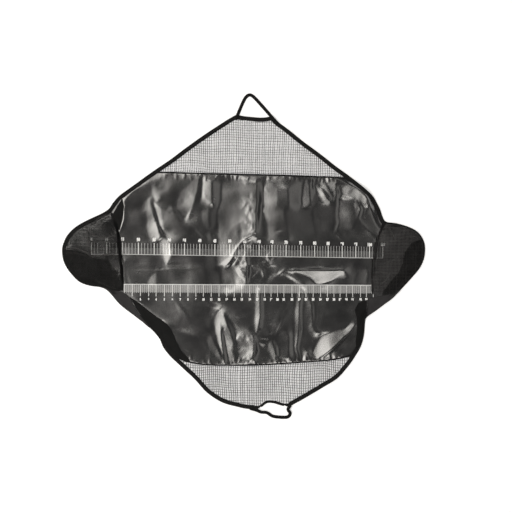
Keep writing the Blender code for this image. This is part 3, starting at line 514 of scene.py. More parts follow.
def crest(places, height, right, left):
    """Height of one small pleat on the grid: steep at its crest, dying away at its ends."""
    line = placed(places)
    rise = np.zeros(mesh_x.shape)
    for index, ends in enumerate(zip(line, line[1:])):
        part, x, y = near(ends, max(left, right) * PIXEL)
        away, t, on_left = beside(x, y, ends)
        spread = np.where(on_left, left, right) * PIXEL
        swell = np.sin(np.pi * (0.06 + 0.88 * (index + t) / (len(line) - 1))) ** 0.6
        rise[part] = np.maximum(rise[part], swell * np.clip(1 - away / spread, 0, 1) ** 1.3)
    return rise * height * 0.001


def ripple(x, y, size, seed):
    """Smooth random waves, from -1 to 1."""
    pick = np.random.default_rng(seed)
    total = np.zeros(np.shape(x))
    for _ in range(10):
        turn, phase, scale = pick.uniform(0, 2 * np.pi), pick.uniform(0, 2 * np.pi), size * pick.uniform(0.7, 1.5)
        total += np.sin((x * np.cos(turn) + y * np.sin(turn)) * 2 * np.pi / scale + phase)
    return total / 4.5


def hump(px, py, reach):
    """1 at a place in the frame, falling away round it."""
    x, y = at(px, py)
    return np.exp(-((mesh_x - x) ** 2 + (mesh_y - y) ** 2) / (2 * reach**2))


def eased(share):
    return share * share * (3 - 2 * share)


def freedom():
    """How free the cloth is to lift: inside the rim, on the panel, and away from seams and flat places."""
    raised = hump(*RAISED_RIM)
    tight = raised
    for place in TIGHT_RIM:
        tight = np.maximum(tight, hump(*place))
    free = np.clip((rim_grid - 0.006) / (0.028 - 0.019 * tight), 0, 1)
    free = np.maximum(eased(free), 0.55 * raised**1.5)
    seams = np.minimum(abs(beyond(mesh_x, mesh_y, upper_seam)), abs(beyond(mesh_x, mesh_y, lower_seam)))
    panel = in_panel(mesh_x, mesh_y)
    loose = np.clip((seams - 0.002) / np.where(mesh_y > 0, 0.016, 0.026), 0, 1)
    at_seam = np.where(mesh_y > 0, 0.86, 0.74)
    lifts = at_seam * np.where(panel, 1, np.clip(1 - seams / 0.035, 0, 1) ** 1.5) + (1 - at_seam) * loose * panel
    from_ends = np.minimum(mesh_x - at(72, 0)[0], at(424, 0)[0] - mesh_x)
    lifts = free * lifts * (0.2 + 0.8 * eased(np.clip(from_ends / 0.15, 0, 1)))
    for place in FLAT_AT:
        lifts *= 1 - 0.8 * hump(*place)
    return free, seams, panel, lifts


def crumples(pick):
    """Slopes of the small creases in the crumpled zones."""
    slope_x, slope_y = np.zeros(mesh_x.shape), np.zeros(mesh_x.shape)
    for middle, spread, count, steepness, lengths in CRUMPLED:
        for _ in range(count):
            px, py = pick.gauss(middle[0], spread[0]), pick.gauss(middle[1], spread[1])
            turn, reach, steep = pick.uniform(0, 2 * math.pi), pick.uniform(*lengths), pick.uniform(*steepness)
            bow = pick.uniform(-0.25, 0.25) * reach
            dx, dy = math.cos(turn) * reach, math.sin(turn) * reach
            path = ((px - dx, py - dy), (px - dy / reach * bow, py + dx / reach * bow), (px + dx, py + dy))
            wide = pick.uniform(1.2, 1.2 + 0.35 * reach)
            slopes_beside(slope_x, slope_y, path, ((steep, wide),), ((steep * pick.uniform(-1, 1), wide),))
    return slope_x, slope_y


def puckers(pick):
    """Short pleats of the cloth where it is gathered on the seams, faint at the left end of the upper one."""
    rise = np.zeros(mesh_x.shape)
    for seam, way in ((upper_seam, -1), (lower_seam, 1)):
        along, length = 0.03, run_of(seam)[-1]
        while along < length - 0.03:
            foot = seam[int(along / length * (len(seam) - 1))]
            reach = pick.uniform(0.006, 0.022)
            px, py = in_frame(*foot)
            lean = pick.uniform(-0.35, 0.35) * reach / PIXEL
            wide = pick.uniform(1.1, 2.2)
            height = pick.uniform(0.5, 2.4) * (np.interp(px, (165, 215), (0.3, 1)) if way < 0 else 1)
            rise += crest(((px, py + way * 0.5), (px + lean, py - way * reach / PIXEL)), height, wide, wide)
            along += pick.uniform(0.006, 0.022)
    return rise


def lay_out():
    """The lie of the whole sling on the grid."""
    free, seams, panel, lifts = freedom()
    slope_x, slope_y = np.zeros(mesh_x.shape), np.zeros(mesh_x.shape)
    for corners, way in FACES:
        slopes_on_face(slope_x, slope_y, corners, way)
    on_face = (slope_x != 0) | (slope_y != 0)
    for places, right, left in CREASES:
        slopes_beside(slope_x, slope_y, places, right, left)
    pick = random.Random(12)
    small_x, small_y = crumples(pick)
    known = (slope_x != 0) | (slope_y != 0)
    boost = np.where(on_face, FACE_BOOST, np.where(known, CREASE_BOOST, 0))
    aim_x, aim_y, free_x, free_y = slope_x.copy(), slope_y.copy(), slope_x, slope_y
    for _ in range(FITTING_ROUNDS):
        slack = height_of(np.where(known, aim_x, 0.97 * free_x), np.where(known, aim_y, 0.97 * free_y))
        lift = (slack - ground_under(slack)) * lifts
        free_x, free_y = np.gradient(slack, GRID)
        found_x, found_y = np.gradient(lift, GRID)
        aim_x = slope_x + np.clip(aim_x - slope_x + 0.4 * (slope_x - found_x), -boost, boost)
        aim_y = slope_y + np.clip(aim_y - slope_y + 0.4 * (slope_y - found_y), -boost, boost)
    lift += (height_of(small_x, small_y) + 0.0008 * ripple(mesh_x, mesh_y, 0.12, 3)) * lifts
    lift += puckers(pick) * panel
    flap = (0.0016 + 0.0016 * ripple(mesh_x, mesh_y, 0.09, 5)) * (1 - panel) * free * np.clip(seams / 0.03, 0, 1)
    border = 0.0006 * (1 + ripple(mesh_x, mesh_y, 0.06, 6))
    lift = SOFTENING * np.logaddexp(0, lift / SOFTENING) - SOFTENING * math.log(2) * (1 - panel * free)
    lift = REST + np.maximum(lift, 0) + np.maximum(flap, 0) + np.maximum(border, 0)
    for axis in (0, 1):
        lift = (np.roll(lift, 1, axis) + 2 * lift + np.roll(lift, -1, axis)) / 4
    return lift


lie_grid = lay_out()


def lie(x, y):
    """Height of the middle of the cloth at places on the floor."""
    return sampled(lie_grid, x, y)


# Coated cloth: one black nylon panel with a glossy coating, folded up along both sides of the trough.
# It is made in two halves that meet in the trough, one for each wing.
CLOTH_PLY = 0.0005
SPLIT_Y = -0.0312
UPPER_FOLD_Y, LOWER_FOLD_Y, FOLD_REACH = 0.138008, -0.200824, 0.018
UPPER_SEAM_Y, LOWER_SEAM_Y, SEAM_REACH = 0.257712, -0.349596, 0.012
HIDDEN_EDGE = 0.0045
# The folds of the sling: the body on each side, where the bend starts and where it ends.
BENDS = {
    "lower_seam": ("lower_wing", "lower_flap", LOWER_SEAM_Y + SEAM_REACH, LOWER_SEAM_Y - SEAM_REACH),
    "lower_fold": ("trough", "lower_wing", LOWER_FOLD_Y + FOLD_REACH, LOWER_FOLD_Y - FOLD_REACH),
    "upper_fold": ("trough", "upper_wing", UPPER_FOLD_Y - FOLD_REACH, UPPER_FOLD_Y + FOLD_REACH),
    "upper_seam": ("upper_wing", "upper_flap", UPPER_SEAM_Y - SEAM_REACH, UPPER_SEAM_Y + SEAM_REACH),
}


def bend(piece):
    """Bakes a piece's placement into its mesh."""
    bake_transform(piece)


# Rulers printed on the cloth: where the 5 cm marks and the inch marks lie in the frame.
CM_MARKS = (
    76, 91.5, 106.8, 122.7, 138.5, 154.3, 169.5, 184.7, 199.9, 214.9, 229.8, 244.8, 259.1, 271.9, 286, 300.6, 314.6,
    328, 342, 355.6, 369.4, 382.7, 396,
)
INCH_MARKS = (
    116.4, 124.4, 132.4, 140.6, 148.8, 156.2, 164.5, 172.5, 180.4, 188.1, 196, 203.5, 211.3, 219.1, 226.7, 234.3,
    241.8,
    249.8, 257.2, 264.6, 271, 277.5, 283.8, 291.9, 299.2, 305.9, 313.1, 320.4, 327.3, 333.8, 339.9, 346.2, 352.4,
    360.4,
    366.2, 373, 380,
)
# For each ruler its UV map, the first and last reading shown, its base line as (from, to, strength) in metres,
# and its marks as (step, half width, length, strength).
RULERS = (
    ("cm_rule", 4.9, 105.2, (-0.0016, 0.0004, 0.7),
     ((0.1, 0.016, 0.0205, 0.26), (1.0, 0.07, 0.0355, 0.6), (5.0, 0.14, 0.0365, 1.0))),
    ("inch_rule", -0.05, 34.05, (-0.0012, 0.0014, 0.85),
     ((0.0625, 0.017, 0.025, 0.5), (0.25, 0.03, 0.027, 0.6), (1.0, 0.05, 0.038, 0.8))),
)


def cm_place(x, y):
    """Centimetres along the upper ruler, and metres over its base line."""
    px, py = in_frame(x, y)
    over = (np.interp(px, (122, 245, 369), (254.0, 255.9, 257.8)) - py) * PIXEL
    return np.stack([np.interp(px, CM_MARKS, np.arange(len(CM_MARKS)) * 5.0), over], axis=-1)


def inch_place(x, y):
    """Inches along the lower ruler, and metres under its base line."""
    px, py = in_frame(x, y)
    under = (py - np.interp(px, (122, 369), (284.2, 285.2))) * PIXEL
    return np.stack([np.interp(px, INCH_MARKS, np.arange(len(INCH_MARKS)) - 1.0), under], axis=-1)


def mesh_of(name, points, faces, flat_faces=0, maps=()):
    """A mesh of quads with UV maps given by point; its last faces are left flat."""
    mesh = bpy.data.meshes.new(name)
    mesh.vertices.add(len(points))
    mesh.vertices.foreach_set("co", np.asarray(points, np.float32).ravel())
    mesh.loops.add(faces.size)
    mesh.loops.foreach_set("vertex_index", faces.astype(np.int32).ravel())
    mesh.polygons.add(len(faces))
    mesh.polygons.foreach_set("loop_start", np.arange(0, faces.size, faces.shape[1], dtype=np.int32))
    mesh.update(calc_edges=True)
    mesh.polygons.foreach_set("use_smooth", np.arange(len(faces)) < len(faces) - flat_faces)
    for key, values in maps:
        values = np.concatenate([values] * (len(points) // len(values)))
        mesh.uv_layers.new(name=key).data.foreach_set("uv", values[faces.ravel()].astype(np.float32).ravel())
    mesh.validate()
    mesh.set_sharp_from_angle(angle=math.radians(60))
    return mesh


def sheet_mesh(name, keep, cell, height, layers=(), ring=None):
    """A thin closed sheet on a square grid: the cells that keep() takes, its rim drawn onto a ring."""
    x, y = np.meshgrid(*(np.arange(*span, cell) for span in SPANS), indexing="ij")
    kept = keep(x[:-1, :-1] + cell / 2, y[:-1, :-1] + cell / 2)
    index = np.arange(x.size).reshape(x.shape)
    quads = np.stack([index[:-1, :-1], index[1:, :-1], index[1:, 1:], index[:-1, 1:]], axis=-1)[kept]
    used, faces = np.unique(quads, return_inverse=True)
    faces = faces.reshape(-1, 4)
    x, y = x.ravel()[used], y.ravel()[used]
    count = len(x)
    edges = np.concatenate([faces[:, [0, 1]], faces[:, [1, 2]], faces[:, [2, 3]], faces[:, [3, 0]]])
    keys = np.minimum(edges[:, 0], edges[:, 1]) * count + np.maximum(edges[:, 0], edges[:, 1])
    _, where, times = np.unique(keys, return_index=True, return_counts=True)
    rim = edges[where[times == 1]]
    if ring is not None:
        line = evenly(np.concatenate([ring, ring[:1]]), cell / 4)
        for index in np.unique(rim):
            x[index], y[index] = line[np.argmin((line[:, 0] - x[index]) ** 2 + (line[:, 1] - y[index]) ** 2)]
    slope_x = (height(x + cell / 2, y) - height(x - cell / 2, y)) / cell
    slope_y = (height(x, y + cell / 2) - height(x, y - cell / 2)) / cell
    normal = np.stack([-slope_x, -slope_y, np.ones(count)], axis=1)
    normal /= np.linalg.norm(normal, axis=1)[:, None]
    middle = np.stack([x, y, height(x, y)], axis=1)
    points = np.concatenate([middle + normal * CLOTH_PLY / 2, middle - normal * CLOTH_PLY / 2])
    walls = np.stack([rim[:, 1], rim[:, 0], rim[:, 0] + count, rim[:, 1] + count], axis=1)
    maps = [("cut", middle[:, :2]), *[(key, place(x, y)) for key, place in layers]]
    return mesh_of(name, points, np.concatenate([faces, faces[:, ::-1] + count, walls]), len(walls), maps)


def new_material(name):
    """A material with its node tree, and places in object coordinates."""
    material = bpy.data.materials.new(name)
    material.use_nodes = True
    return material, material.node_tree, node(material.node_tree, "ShaderNodeTexCoord").outputs["Object"]


def noise(tree, place, scale, detail, roughness=0.5):
    inputs = {"Vector": place, "Scale": scale, "Detail": detail, "Roughness": roughness}
    return node(tree, "ShaderNodeTexNoise", inputs).outputs["Fac"]


def weave(tree, place, scale):
    """Warp and weft as two crossing sets of waves."""
    inputs = {"Vector": place, "Scale": scale}
    warp, weft = (node(tree, "ShaderNodeTexWave", inputs, bands_direction=way).outputs["Fac"] for way in "XY")
    return calc(tree, "ADD", warp, weft)


def mixed(tree, share, dark, light):
    """A colour between two, or between a socket and a colour."""
    dark = dark if isinstance(dark, bpy.types.NodeSocket) else (*dark, 1)
    return node(tree, "ShaderNodeMix", {0: share, 6: dark, 7: (*light, 1)}, data_type="RGBA").outputs[2]


def surface(tree, colour, roughness, specular, relief, strength, distance):
    """Sets the shader's colour, gloss and relief."""
    bump = node(tree, "ShaderNodeBump", {"Height": relief, "Strength": strength, "Distance": distance})
    return fill(tree, tree.nodes["Principled BSDF"], {
        "Base Color": colour, "Roughness": roughness, "Specular IOR Level": specular, "Normal": bump.outputs[0]})


def stripes(tree, along, pitch, half_width):
    """1 on marks at even steps along a coordinate, else 0."""
    step = calc(tree, "DIVIDE", along, pitch)
    off = calc(tree, "ABSOLUTE", calc(tree, "SUBTRACT", step, calc(tree, "ROUND", step)))
    return calc(tree, "LESS_THAN", off, half_width / pitch)


def between(tree, value, low, high):
    return calc(tree, "MULTIPLY", calc(tree, "GREATER_THAN", value, low), calc(tree, "LESS_THAN", value, high))


def coated_cloth_material():
    """Black coated nylon, unevenly glossy, with both rulers printed on it in worn white ink."""
    material, tree, place = new_material("coated_nylon")
    ink = 0.0
    for uv_map, first, last, (low, high, strength), marks in RULERS:
        rule = node(tree, "ShaderNodeSeparateXYZ", {0: node(tree, "ShaderNodeUVMap", uv_map=uv_map).outputs[0]})
        reading, over = rule.outputs[0], rule.outputs[1]
        print_on = calc(tree, "MULTIPLY", between(tree, over, low, high), strength)
        for step, half_width, length, strength in marks:
            mark = calc(tree, "MULTIPLY", stripes(tree, reading, step, half_width), between(tree, over, 0.0, length))
            print_on = calc(tree, "MAXIMUM", print_on, calc(tree, "MULTIPLY", mark, strength))
        ink = calc(tree, "MAXIMUM", ink, calc(tree, "MULTIPLY", print_on, between(tree, reading, first, last)))
    worn = calc(tree, "MULTIPLY", noise(tree, place, 160.0, 3.0), 0.5)
    ink = calc(tree, "MULTIPLY", ink, calc(tree, "ADD", 0.75, worn, clamp=True))
    cloudy = noise(tree, place, 14.0, 5.0, 0.6)
    cloth = node(tree, "ShaderNodeValToRGB", {"Fac": cloudy})
    dark, light = cloth.color_ramp.elements
    dark.position, dark.color = 0.3, (0.008, 0.0078, 0.0077, 1)
    light.position, light.color = 0.72, (0.018, 0.0174, 0.0172, 1)
    rough = node(tree, "ShaderNodeMapRange", {
        "Value": cloudy, "From Min": 0.3, "From Max": 0.7, "To Min": 0.19, "To Max": 0.28})
    relief = calc(tree, "ADD", noise(tree, place, 50.0, 3.0), calc(tree, "MULTIPLY", weave(tree, place, 420.0), 0.004))
    colour = mixed(tree, ink, cloth.outputs[0], (0.92, 0.92, 0.91))
    shader = surface(tree, colour, rough.outputs[0], 1.0, relief, 0.16, 0.0016)
    shader.inputs["IOR"].default_value = 1.8
    return material


def plain_material(name, dark, light, roughness):
    """Plain woven cloth of uneven tone."""
    material, tree, place = new_material(name)
    uneven = noise(tree, place, 30.0, 6.0)
    relief = calc(tree, "ADD", weave(tree, place, 300.0), calc(tree, "MULTIPLY", uneven, 2.0))
    surface(tree, mixed(tree, uneven, dark, light), roughness, 0.25, relief, 0.3, 0.0004)
    return material


COATED = coated_cloth_material()
REVERSE = plain_material("uncoated_side", (0.02, 0.019, 0.02), (0.045, 0.043, 0.044), 0.75)
for name, way, fold, wing_node, width in (
    ("upper_half_of_cloth", 1, "upper_fold", "upper_wing_panel", 0.32),
    ("lower_half_of_cloth", -1, "lower_fold", "lower_wing_panel", 0.33),
):
    cloth = show(name, sheet_mesh(
        name, lambda x, y: ((y - SPLIT_Y) * way > 0) & in_panel(x, y) & within(x, y, HIDDEN_EDGE), GRID, lie,
        (("cm_rule", cm_place), ("inch_rule", inch_place))), COATED, REVERSE)
    sides = [int(polygon.normal.z < 0) for polygon in cloth.data.polygons]
    cloth.data.polygons.foreach_set("material_index", sides)
    bend(cloth)
    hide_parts("trough_panel", wing_node)

# Mesh flaps: black knitted netting from each seam to its loop, bound at its edges.
# Its threads are laid by Geometry Nodes along lines that follow the slack of the cloth.
NET_PITCHES, FINE_PITCHES = (0.007, 0.0084), (0.00233, 0.0028)


def new_tree(name, inputs):
    """A Geometry Nodes tree with its named inputs, and the sockets that give them."""
    tree = bpy.data.node_groups.new(name, "GeometryNodeTree")
    for label, kind in inputs:
        tree.interface.new_socket(label, in_out="INPUT", socket_type="NodeSocket" + kind)
    tree.interface.new_socket("Threads", in_out="OUTPUT", socket_type="NodeSocketGeometry")
    return tree, node(tree, "NodeGroupInput").outputs


def end_tree(tree, geometry, material):
    """Ends a tree with its instances made real and its material set."""
    single = node(tree, "GeometryNodeRealizeInstances", {0: geometry})
    finished = node(tree, "GeometryNodeSetMaterial", {0: single.outputs[0], "Material": material})
    node(tree, "NodeGroupOutput", {0: finished.outputs[0]})
    return tree


def thread_tree():
    """Turns a mesh of edges into round threads."""
    tree, given = new_tree("threads_along_edges", (
        ("Lines", "Geometry"), ("Thread radius", "Float"), ("Thread sides", "Int"), ("Thread material", "Material")))
    lines = node(tree, "GeometryNodeMeshToCurve", {0: given[0]})
    ring = node(tree, "GeometryNodeCurvePrimitiveCircle", {"Radius": given[1], "Resolution": given[2]})
    tubes = node(tree, "GeometryNodeCurveToMesh", {
        "Curve": lines.outputs[0], "Profile Curve": ring.outputs[0], "Fill Caps": True})
    softened = node(tree, "GeometryNodeSetShadeSmooth", {0: tubes.outputs[0]})
    return end_tree(tree, softened.outputs[0], given[3])


def grown(name, points, edges, tree, values, material):
    """A plain mesh from a Geometry Nodes tree run on a mesh of edges."""
    mesh = bpy.data.meshes.new(name)
    mesh.from_pydata(np.asarray(points).tolist(), np.asarray(edges).tolist(), [])
    source = show(name, mesh)
    grower = source.modifiers.new("grow", "NODES")
    grower.node_group = tree
    inputs = [item for item in tree.interface.items_tree if item.in_out == "INPUT"][1:]
    for socket, value in zip(inputs, [*values, material]):
        grower[socket.identifier] = value
    bpy.context.view_layer.update()
    baked = bpy.data.meshes.new_from_object(source.evaluated_get(bpy.context.evaluated_depsgraph_get()))
    source.modifiers.clear()
    source.data = baked
    baked.materials.clear()
    baked.materials.append(material)
    baked.polygons.foreach_set("material_index", [0] * len(baked.polygons))
    return source


def joined(thing, other):
    """One piece of two meshes, each with its own material."""
    bm = bmesh.new()
    bm.from_mesh(thing.data)
    first = len(bm.faces)
    bm.from_mesh(other.data)
    bm.faces.ensure_lookup_table()
    slot = thing.data.materials.find(other.data.materials[0].name)
    if slot < 0:
        slot = len(thing.data.materials)
        thing.data.materials.append(other.data.materials[0])
    for face in bm.faces[first:]:
        face.material_index = slot
        face.smooth = True
    bpy.data.objects.remove(other)
    bm.to_mesh(thing.data)
    bm.free()
    return thing


def runs_of(good):
    """Where each unbroken run of true values starts and ends."""
    steps = np.diff(np.concatenate([[0], good.astype(int), [0]]))
    return zip(np.where(steps == 1)[0], np.where(steps == -1)[0])


def net_lines(keep, height, pitches, wander, crossing, seed, sets=(0, 1), slant=0.0, step=None, drift=0.0):
    """Points and edges of the threads up (set 0) and across (set 1) a net, over the places that keep() takes."""
    pick = np.random.default_rng(seed)
    points, edges, total = [], [], 0
    for across in sets:
        run = np.arange(*SPANS[1 - across], step or pitches[1 - across] / 2)
        for count, position in enumerate(np.arange(*SPANS[across], pitches[across])):
            swing = ripple(run, np.full(run.shape, position), 0.05, seed + 1 + across)
            side = position + (pick.normal(0, wander) + wander * swing)
            x, y = (run, side + slant * run) if across else (side, run)
            x, y = x + drift * ripple(x, y, 0.17, 71), y + drift * ripple(x, y, 0.14, 72)
            good = keep(x, y)
            if good.sum() < 2:
                continue
            over = np.where((np.arange(len(run)) + count * 2) % 4 < 2, 1.0, -1.0) * (1 if across else -1)
            line = np.stack([x, y, height(x, y) + over * crossing], axis=1)
            for start, end in runs_of(good):
                if end - start > 1:
                    points.append(line[start:end])
                    first = np.arange(total, total + end - start - 1)
                    edges.append(np.stack([first, first + 1], axis=1))
                    total += end - start
    return np.concatenate(points), np.concatenate(edges)


def thread_material(name, dark, light, scale):
    """Dull spun thread of uneven tone."""
    material, tree, place = new_material(name)
    colour = mixed(tree, noise(tree, place, scale, 4.0), dark, light)
    surface(tree, colour, 0.62, 0.2, noise(tree, place, 2400.0, 2.0), 0.4, 0.0003)
    return material


THREAD_TREE = thread_tree()
NET_THREAD = thread_material("netting_thread", (0.037, 0.034, 0.036), (0.126, 0.117, 0.124), 90.0)
FINE_THREAD = thread_material("fine_netting_thread", (0.084, 0.076, 0.082), (0.25, 0.228, 0.245), 70.0)
for name, seam, fold, way, node_name, seed, slant, drift, radius, size in (
    ("upper_net", upper_seam, "upper_seam", 1, "upper_mesh_flap", 21, -0.02, 0.0022, 0.00075, (0.66, 0.21)),
    ("lower_net", lower_seam, "lower_seam", -1, "lower_mesh_flap", 22, 0.0, 0.0045, 0.0009, (0.6, 0.17)),
):
    def flap_place(x, y):
        return (beyond(x, y, seam) * way > -0.002) & within(x, y, HIDDEN_EDGE)

    net = None
    for part, sets, pitches, wander, weaving, step, thickness, sides, thread in (
        ("", (0,), NET_PITCHES, 0.0005, 0.0004, None, radius, 5, NET_THREAD),
        ("_cross", (1,), NET_PITCHES, 0.0005, 0.0004, None, radius * 0.72, 5, NET_THREAD),
        ("_fine", (0, 1), FINE_PITCHES, 0.0002, 0.0002, 0.007, 0.00014, 3, FINE_THREAD),
    ):
        lines = net_lines(
            flap_place, lie, pitches, wander, weaving, seed + 5 * (part == "_fine"), sets, slant, step, drift)
        threads = grown(name + part, *lines, THREAD_TREE, (thickness, sides), thread)
        net = joined(net, threads) if net else threads
    bend(net)
    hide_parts(node_name)
    covered = float(flap_place(mesh_x, mesh_y).sum()) * GRID * GRID

# Binding: black ribbed tape folded over the edge all round, stitched along its inner side.
# It is cut into lengths, one for each fold of the sling.
BINDING_SECTION = (
    (0.0, 1.0), (0.4, 0.3), (1.4, 0.0), (12.8, 0.0), (13.2, 0.3), (13.2, 2.6), (12.8, 3.0), (9.6, 3.35), (6.6, 3.45),
    (3.6, 3.35), (1.4, 3.1), (0.4, 2.7), (0.0, 2.0),
)
BINDING_SINK = 0.0017
STITCH_LINE, STITCH_HEIGHT = 0.0112, 0.00325


def sideways(path, turn):
    """Level unit vectors across a path, to its left for turn 1, evened out so that corners don't fold over."""
    way = np.gradient(path, axis=0)
    across = np.stack([-way[:, 1], way[:, 0]], axis=1) * turn
    across /= np.maximum(np.linalg.norm(across, axis=1), 1e-9)[:, None]
    for _ in range(3):
        padded = np.concatenate([across[:1], across, across[-1:]])
        across = (padded[:-2] + padded[1:-1] * 2 + padded[2:]) / 4
    return across / np.linalg.norm(across, axis=1)[:, None]


def swept(name, path, across, section, base, wobble=0.0, seed=0):
    """A closed strip along a path: section points are millimetres across and up from the base height."""
    count, ring = len(path), len(section)
    run = run_of(path)
    spread = 1 + wobble * ripple(run, np.zeros(count), 0.014, seed)
    points, marks = np.zeros((count, ring, 3)), np.zeros((count, ring, 2))
    for index, (out, up) in enumerate(section):
        place = path + across * (out * 0.001 * spread)[:, None]
        points[:, index, :2] = place
        points[:, index, 2] = base(place[:, 0], place[:, 1]) + up * 0.001
        marks[:, index] = np.stack([run, np.full(count, out * 0.001)], axis=1)
    index = np.arange(count * ring).reshape(count, ring)
    here, there = index[:-1], index[1:]
    quads = np.stack([here, np.roll(here, -1, 1), np.roll(there, -1, 1), there], axis=-1).reshape(-1, 4)
    mesh = mesh_of(name, points.reshape(-1, 3), quads, 0, [("tape", marks.reshape(-1, 2))])
    bm = bmesh.new()
    bm.from_mesh(mesh)
    bm.verts.ensure_lookup_table()
    bm.faces.new([bm.verts[i] for i in index[0]])
    bm.faces.new([bm.verts[i] for i in index[-1][::-1]])
    bmesh.ops.recalc_face_normals(bm, faces=bm.faces)
    if bm.calc_volume(signed=True) < 0:
        bmesh.ops.reverse_faces(bm, faces=bm.faces)
    for face in bm.faces:
        face.smooth = True
    bm.to_mesh(mesh)
    bm.free()
    return mesh


def tape_material(name, dark, light, rib, cords):
    """Ribbed woven tape: ribs across it, darker in the grooves between them as painted shade, and a paler crown along
    its middle as a painted sheen.
    """
    material, tree, place = new_material(name)
    tape = node(tree, "ShaderNodeSeparateXYZ", {0: node(tree, "ShaderNodeUVMap", uv_map="tape").outputs[0]})
    ribs = calc(tree, "SINE", calc(tree, "MULTIPLY", tape.outputs[0], 2 * math.pi / rib))
    lengthwise = calc(tree, "SINE", calc(tree, "MULTIPLY", tape.outputs[1], 2 * math.pi * cords))
    fuzz = noise(tree, place, 300.0, 4.0)
    from_middle = calc(tree, "ABSOLUTE", calc(tree, "SUBTRACT", calc(tree, "DIVIDE", tape.outputs[1], 0.0066), 1.0))
    # The paler crown is a painted sheen along the rounded top of the tape.
    sheen_crown = calc(tree, "SUBTRACT", 1.0, from_middle, clamp=True)
    tone = calc(tree, "ADD", calc(tree, "MULTIPLY", sheen_crown, 0.75), calc(tree, "MULTIPLY", fuzz, 0.25))
    # The ribs darken the tone in their grooves: painted shade.
    tone = calc(tree, "MULTIPLY", tone, calc(tree, "ADD", 0.8, calc(tree, "MULTIPLY", ribs, 0.2)))
    relief = calc(tree, "ADD", calc(tree, "MULTIPLY", ribs, lengthwise), calc(tree, "MULTIPLY", fuzz, 0.8))
    surface(tree, mixed(tree, tone, dark, light), 0.72, 0.2, relief, 0.5, 0.0004)
    return material


def stitch_tree():
    """Sets a row of stitches along a mesh of edges."""
    tree, given = new_tree("stitches_along_edges", (
        ("Row", "Geometry"), ("Stitch length", "Float"), ("Thread width", "Float"), ("Stitch material", "Material")))
    row = node(tree, "GeometryNodeMeshToCurve", {0: given[0]})
    places = node(tree, "GeometryNodeCurveToPoints", {0: row.outputs[0], "Length": given[1]}, mode="LENGTH")
    turn = node(tree, "FunctionNodeAlignRotationToVector", {"Vector": places.outputs["Tangent"]}, axis="X")
    bead = node(tree, "GeometryNodeMeshUVSphere", {"Segments": 6, "Rings": 4, "Radius": 0.5})
    size = node(tree, "ShaderNodeCombineXYZ", {0: calc(tree, "MULTIPLY", given[1], 0.72), 1: given[2], 2: given[2]})
    rows = node(tree, "GeometryNodeInstanceOnPoints", {
        "Points": places.outputs["Points"], "Instance": bead.outputs[0],
        "Rotation": turn.outputs[0], "Scale": size.outputs[0]})
    return end_tree(tree, rows.outputs[0], given[3])


BINDING = tape_material("binding_tape_weave", (0.003, 0.003, 0.0033), (0.015, 0.0145, 0.0145), 0.0022, 900.0)
STITCH = thread_material("sewing_thread", (0.012, 0.012, 0.012), (0.05, 0.048, 0.048), 200.0)
STITCH_TREE = stitch_tree()


def stitched(name, line, pitch=0.0042, width=0.0008):
    """A row of stitches along points on the surface."""
    edges = [(i, i + 1) for i in range(len(line) - 1)]
    return grown(name, line, edges, STITCH_TREE, (pitch, width), STITCH)


def above(path, height):
    """A path at the heights that a surface has under it."""
    return np.column_stack([path, height(path[:, 0], path[:, 1])])


def tape_base(x, y):
    return lie(x, y) - BINDING_SINK


def binding_length(name, path, turn, seed, width=1.0):
    """One length of binding with its stitches."""
    across = sideways(path, turn) * width
    tape = show(name, swept(name, path, across, BINDING_SECTION, tape_base, 0.035, seed), BINDING)
    row = above(path + across * STITCH_LINE, lambda x, y: tape_base(x, y) + STITCH_HEIGHT)
    piece = joined(tape, stitched(name + "_stitches", row[2:-2]))
    return piece


def cut_lengths(edge):
    """The edge in four lengths that share their end points."""
    cuts = [int(np.where(edge[:, 1] > level)[0][0]) for level in (-0.272, -0.03, 0.2)]
    marks = [0, *cuts, len(edge) - 1]
    return [edge[a : b + 1] for a, b in zip(marks, marks[1:])]


# The first length on each side starts narrow, at the narrower binding of the lower end.
for side, edge, turn in (("left", left_edge, -1), ("right", right_edge, 1)):
    stands_for = (
        (f"lower_flap_{side}_edge_tape",), (f"lower_wing_{side}_edge_tape",), (f"{side}_end_edge_tape",),
        (f"upper_wing_{side}_edge_tape", f"upper_flap_{side}_edge_tape"),
    )
    for fold, path, nodes in zip(BENDS, cut_lengths(edge), stands_for):
        start_width = 0.38 if fold == "lower_seam" else 1.0
        width = np.interp(np.arange(len(path)), (0, 6), (start_width, 1.0))[:, None]
        tape = binding_length(f"{side}_binding_at_{fold}", path, turn, len(path), width)
        bend(tape)
        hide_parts(*nodes)

for name, path, body, node_name, width in (
    ("upper_end_binding", upper_end[::-1], "upper_flap", "upper_flap_end_tape", 1.0),
    ("lower_end_binding", lower_end - sideways(lower_end, 1) * 0.003, "lower_flap", "lower_flap_end_tape", 0.64),
):
    tape = binding_length(name, path, 1, 5, width)
    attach(tape, body)
    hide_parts(node_name)

# Seam strips: a narrow tape over each seam of cloth and mesh, stitched down along its middle.
SEAM_SECTION = ((-2.4, 0.0), (2.4, 0.0), (2.6, 0.5), (2.0, 1.3), (0.0, 1.6), (-2.0, 1.3), (-2.6, 0.5))
for side, seam in (("upper", upper_seam), ("lower", lower_seam)):
    name = f"{side}_seam_strip"
    path = seam[within(seam[:, 0], seam[:, 1], 0.009)]
    mesh = swept(name, path, sideways(path, 1), SEAM_SECTION, lambda x, y: lie(x, y) - 0.0005, 0.08, 9)
    strip = show(name, mesh, BINDING)
    joined(strip, stitched(name + "_stitches", above(path, lambda x, y: lie(x, y) + 0.0011)))
    bend(strip)
    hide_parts(f"{side}_seam_tape")

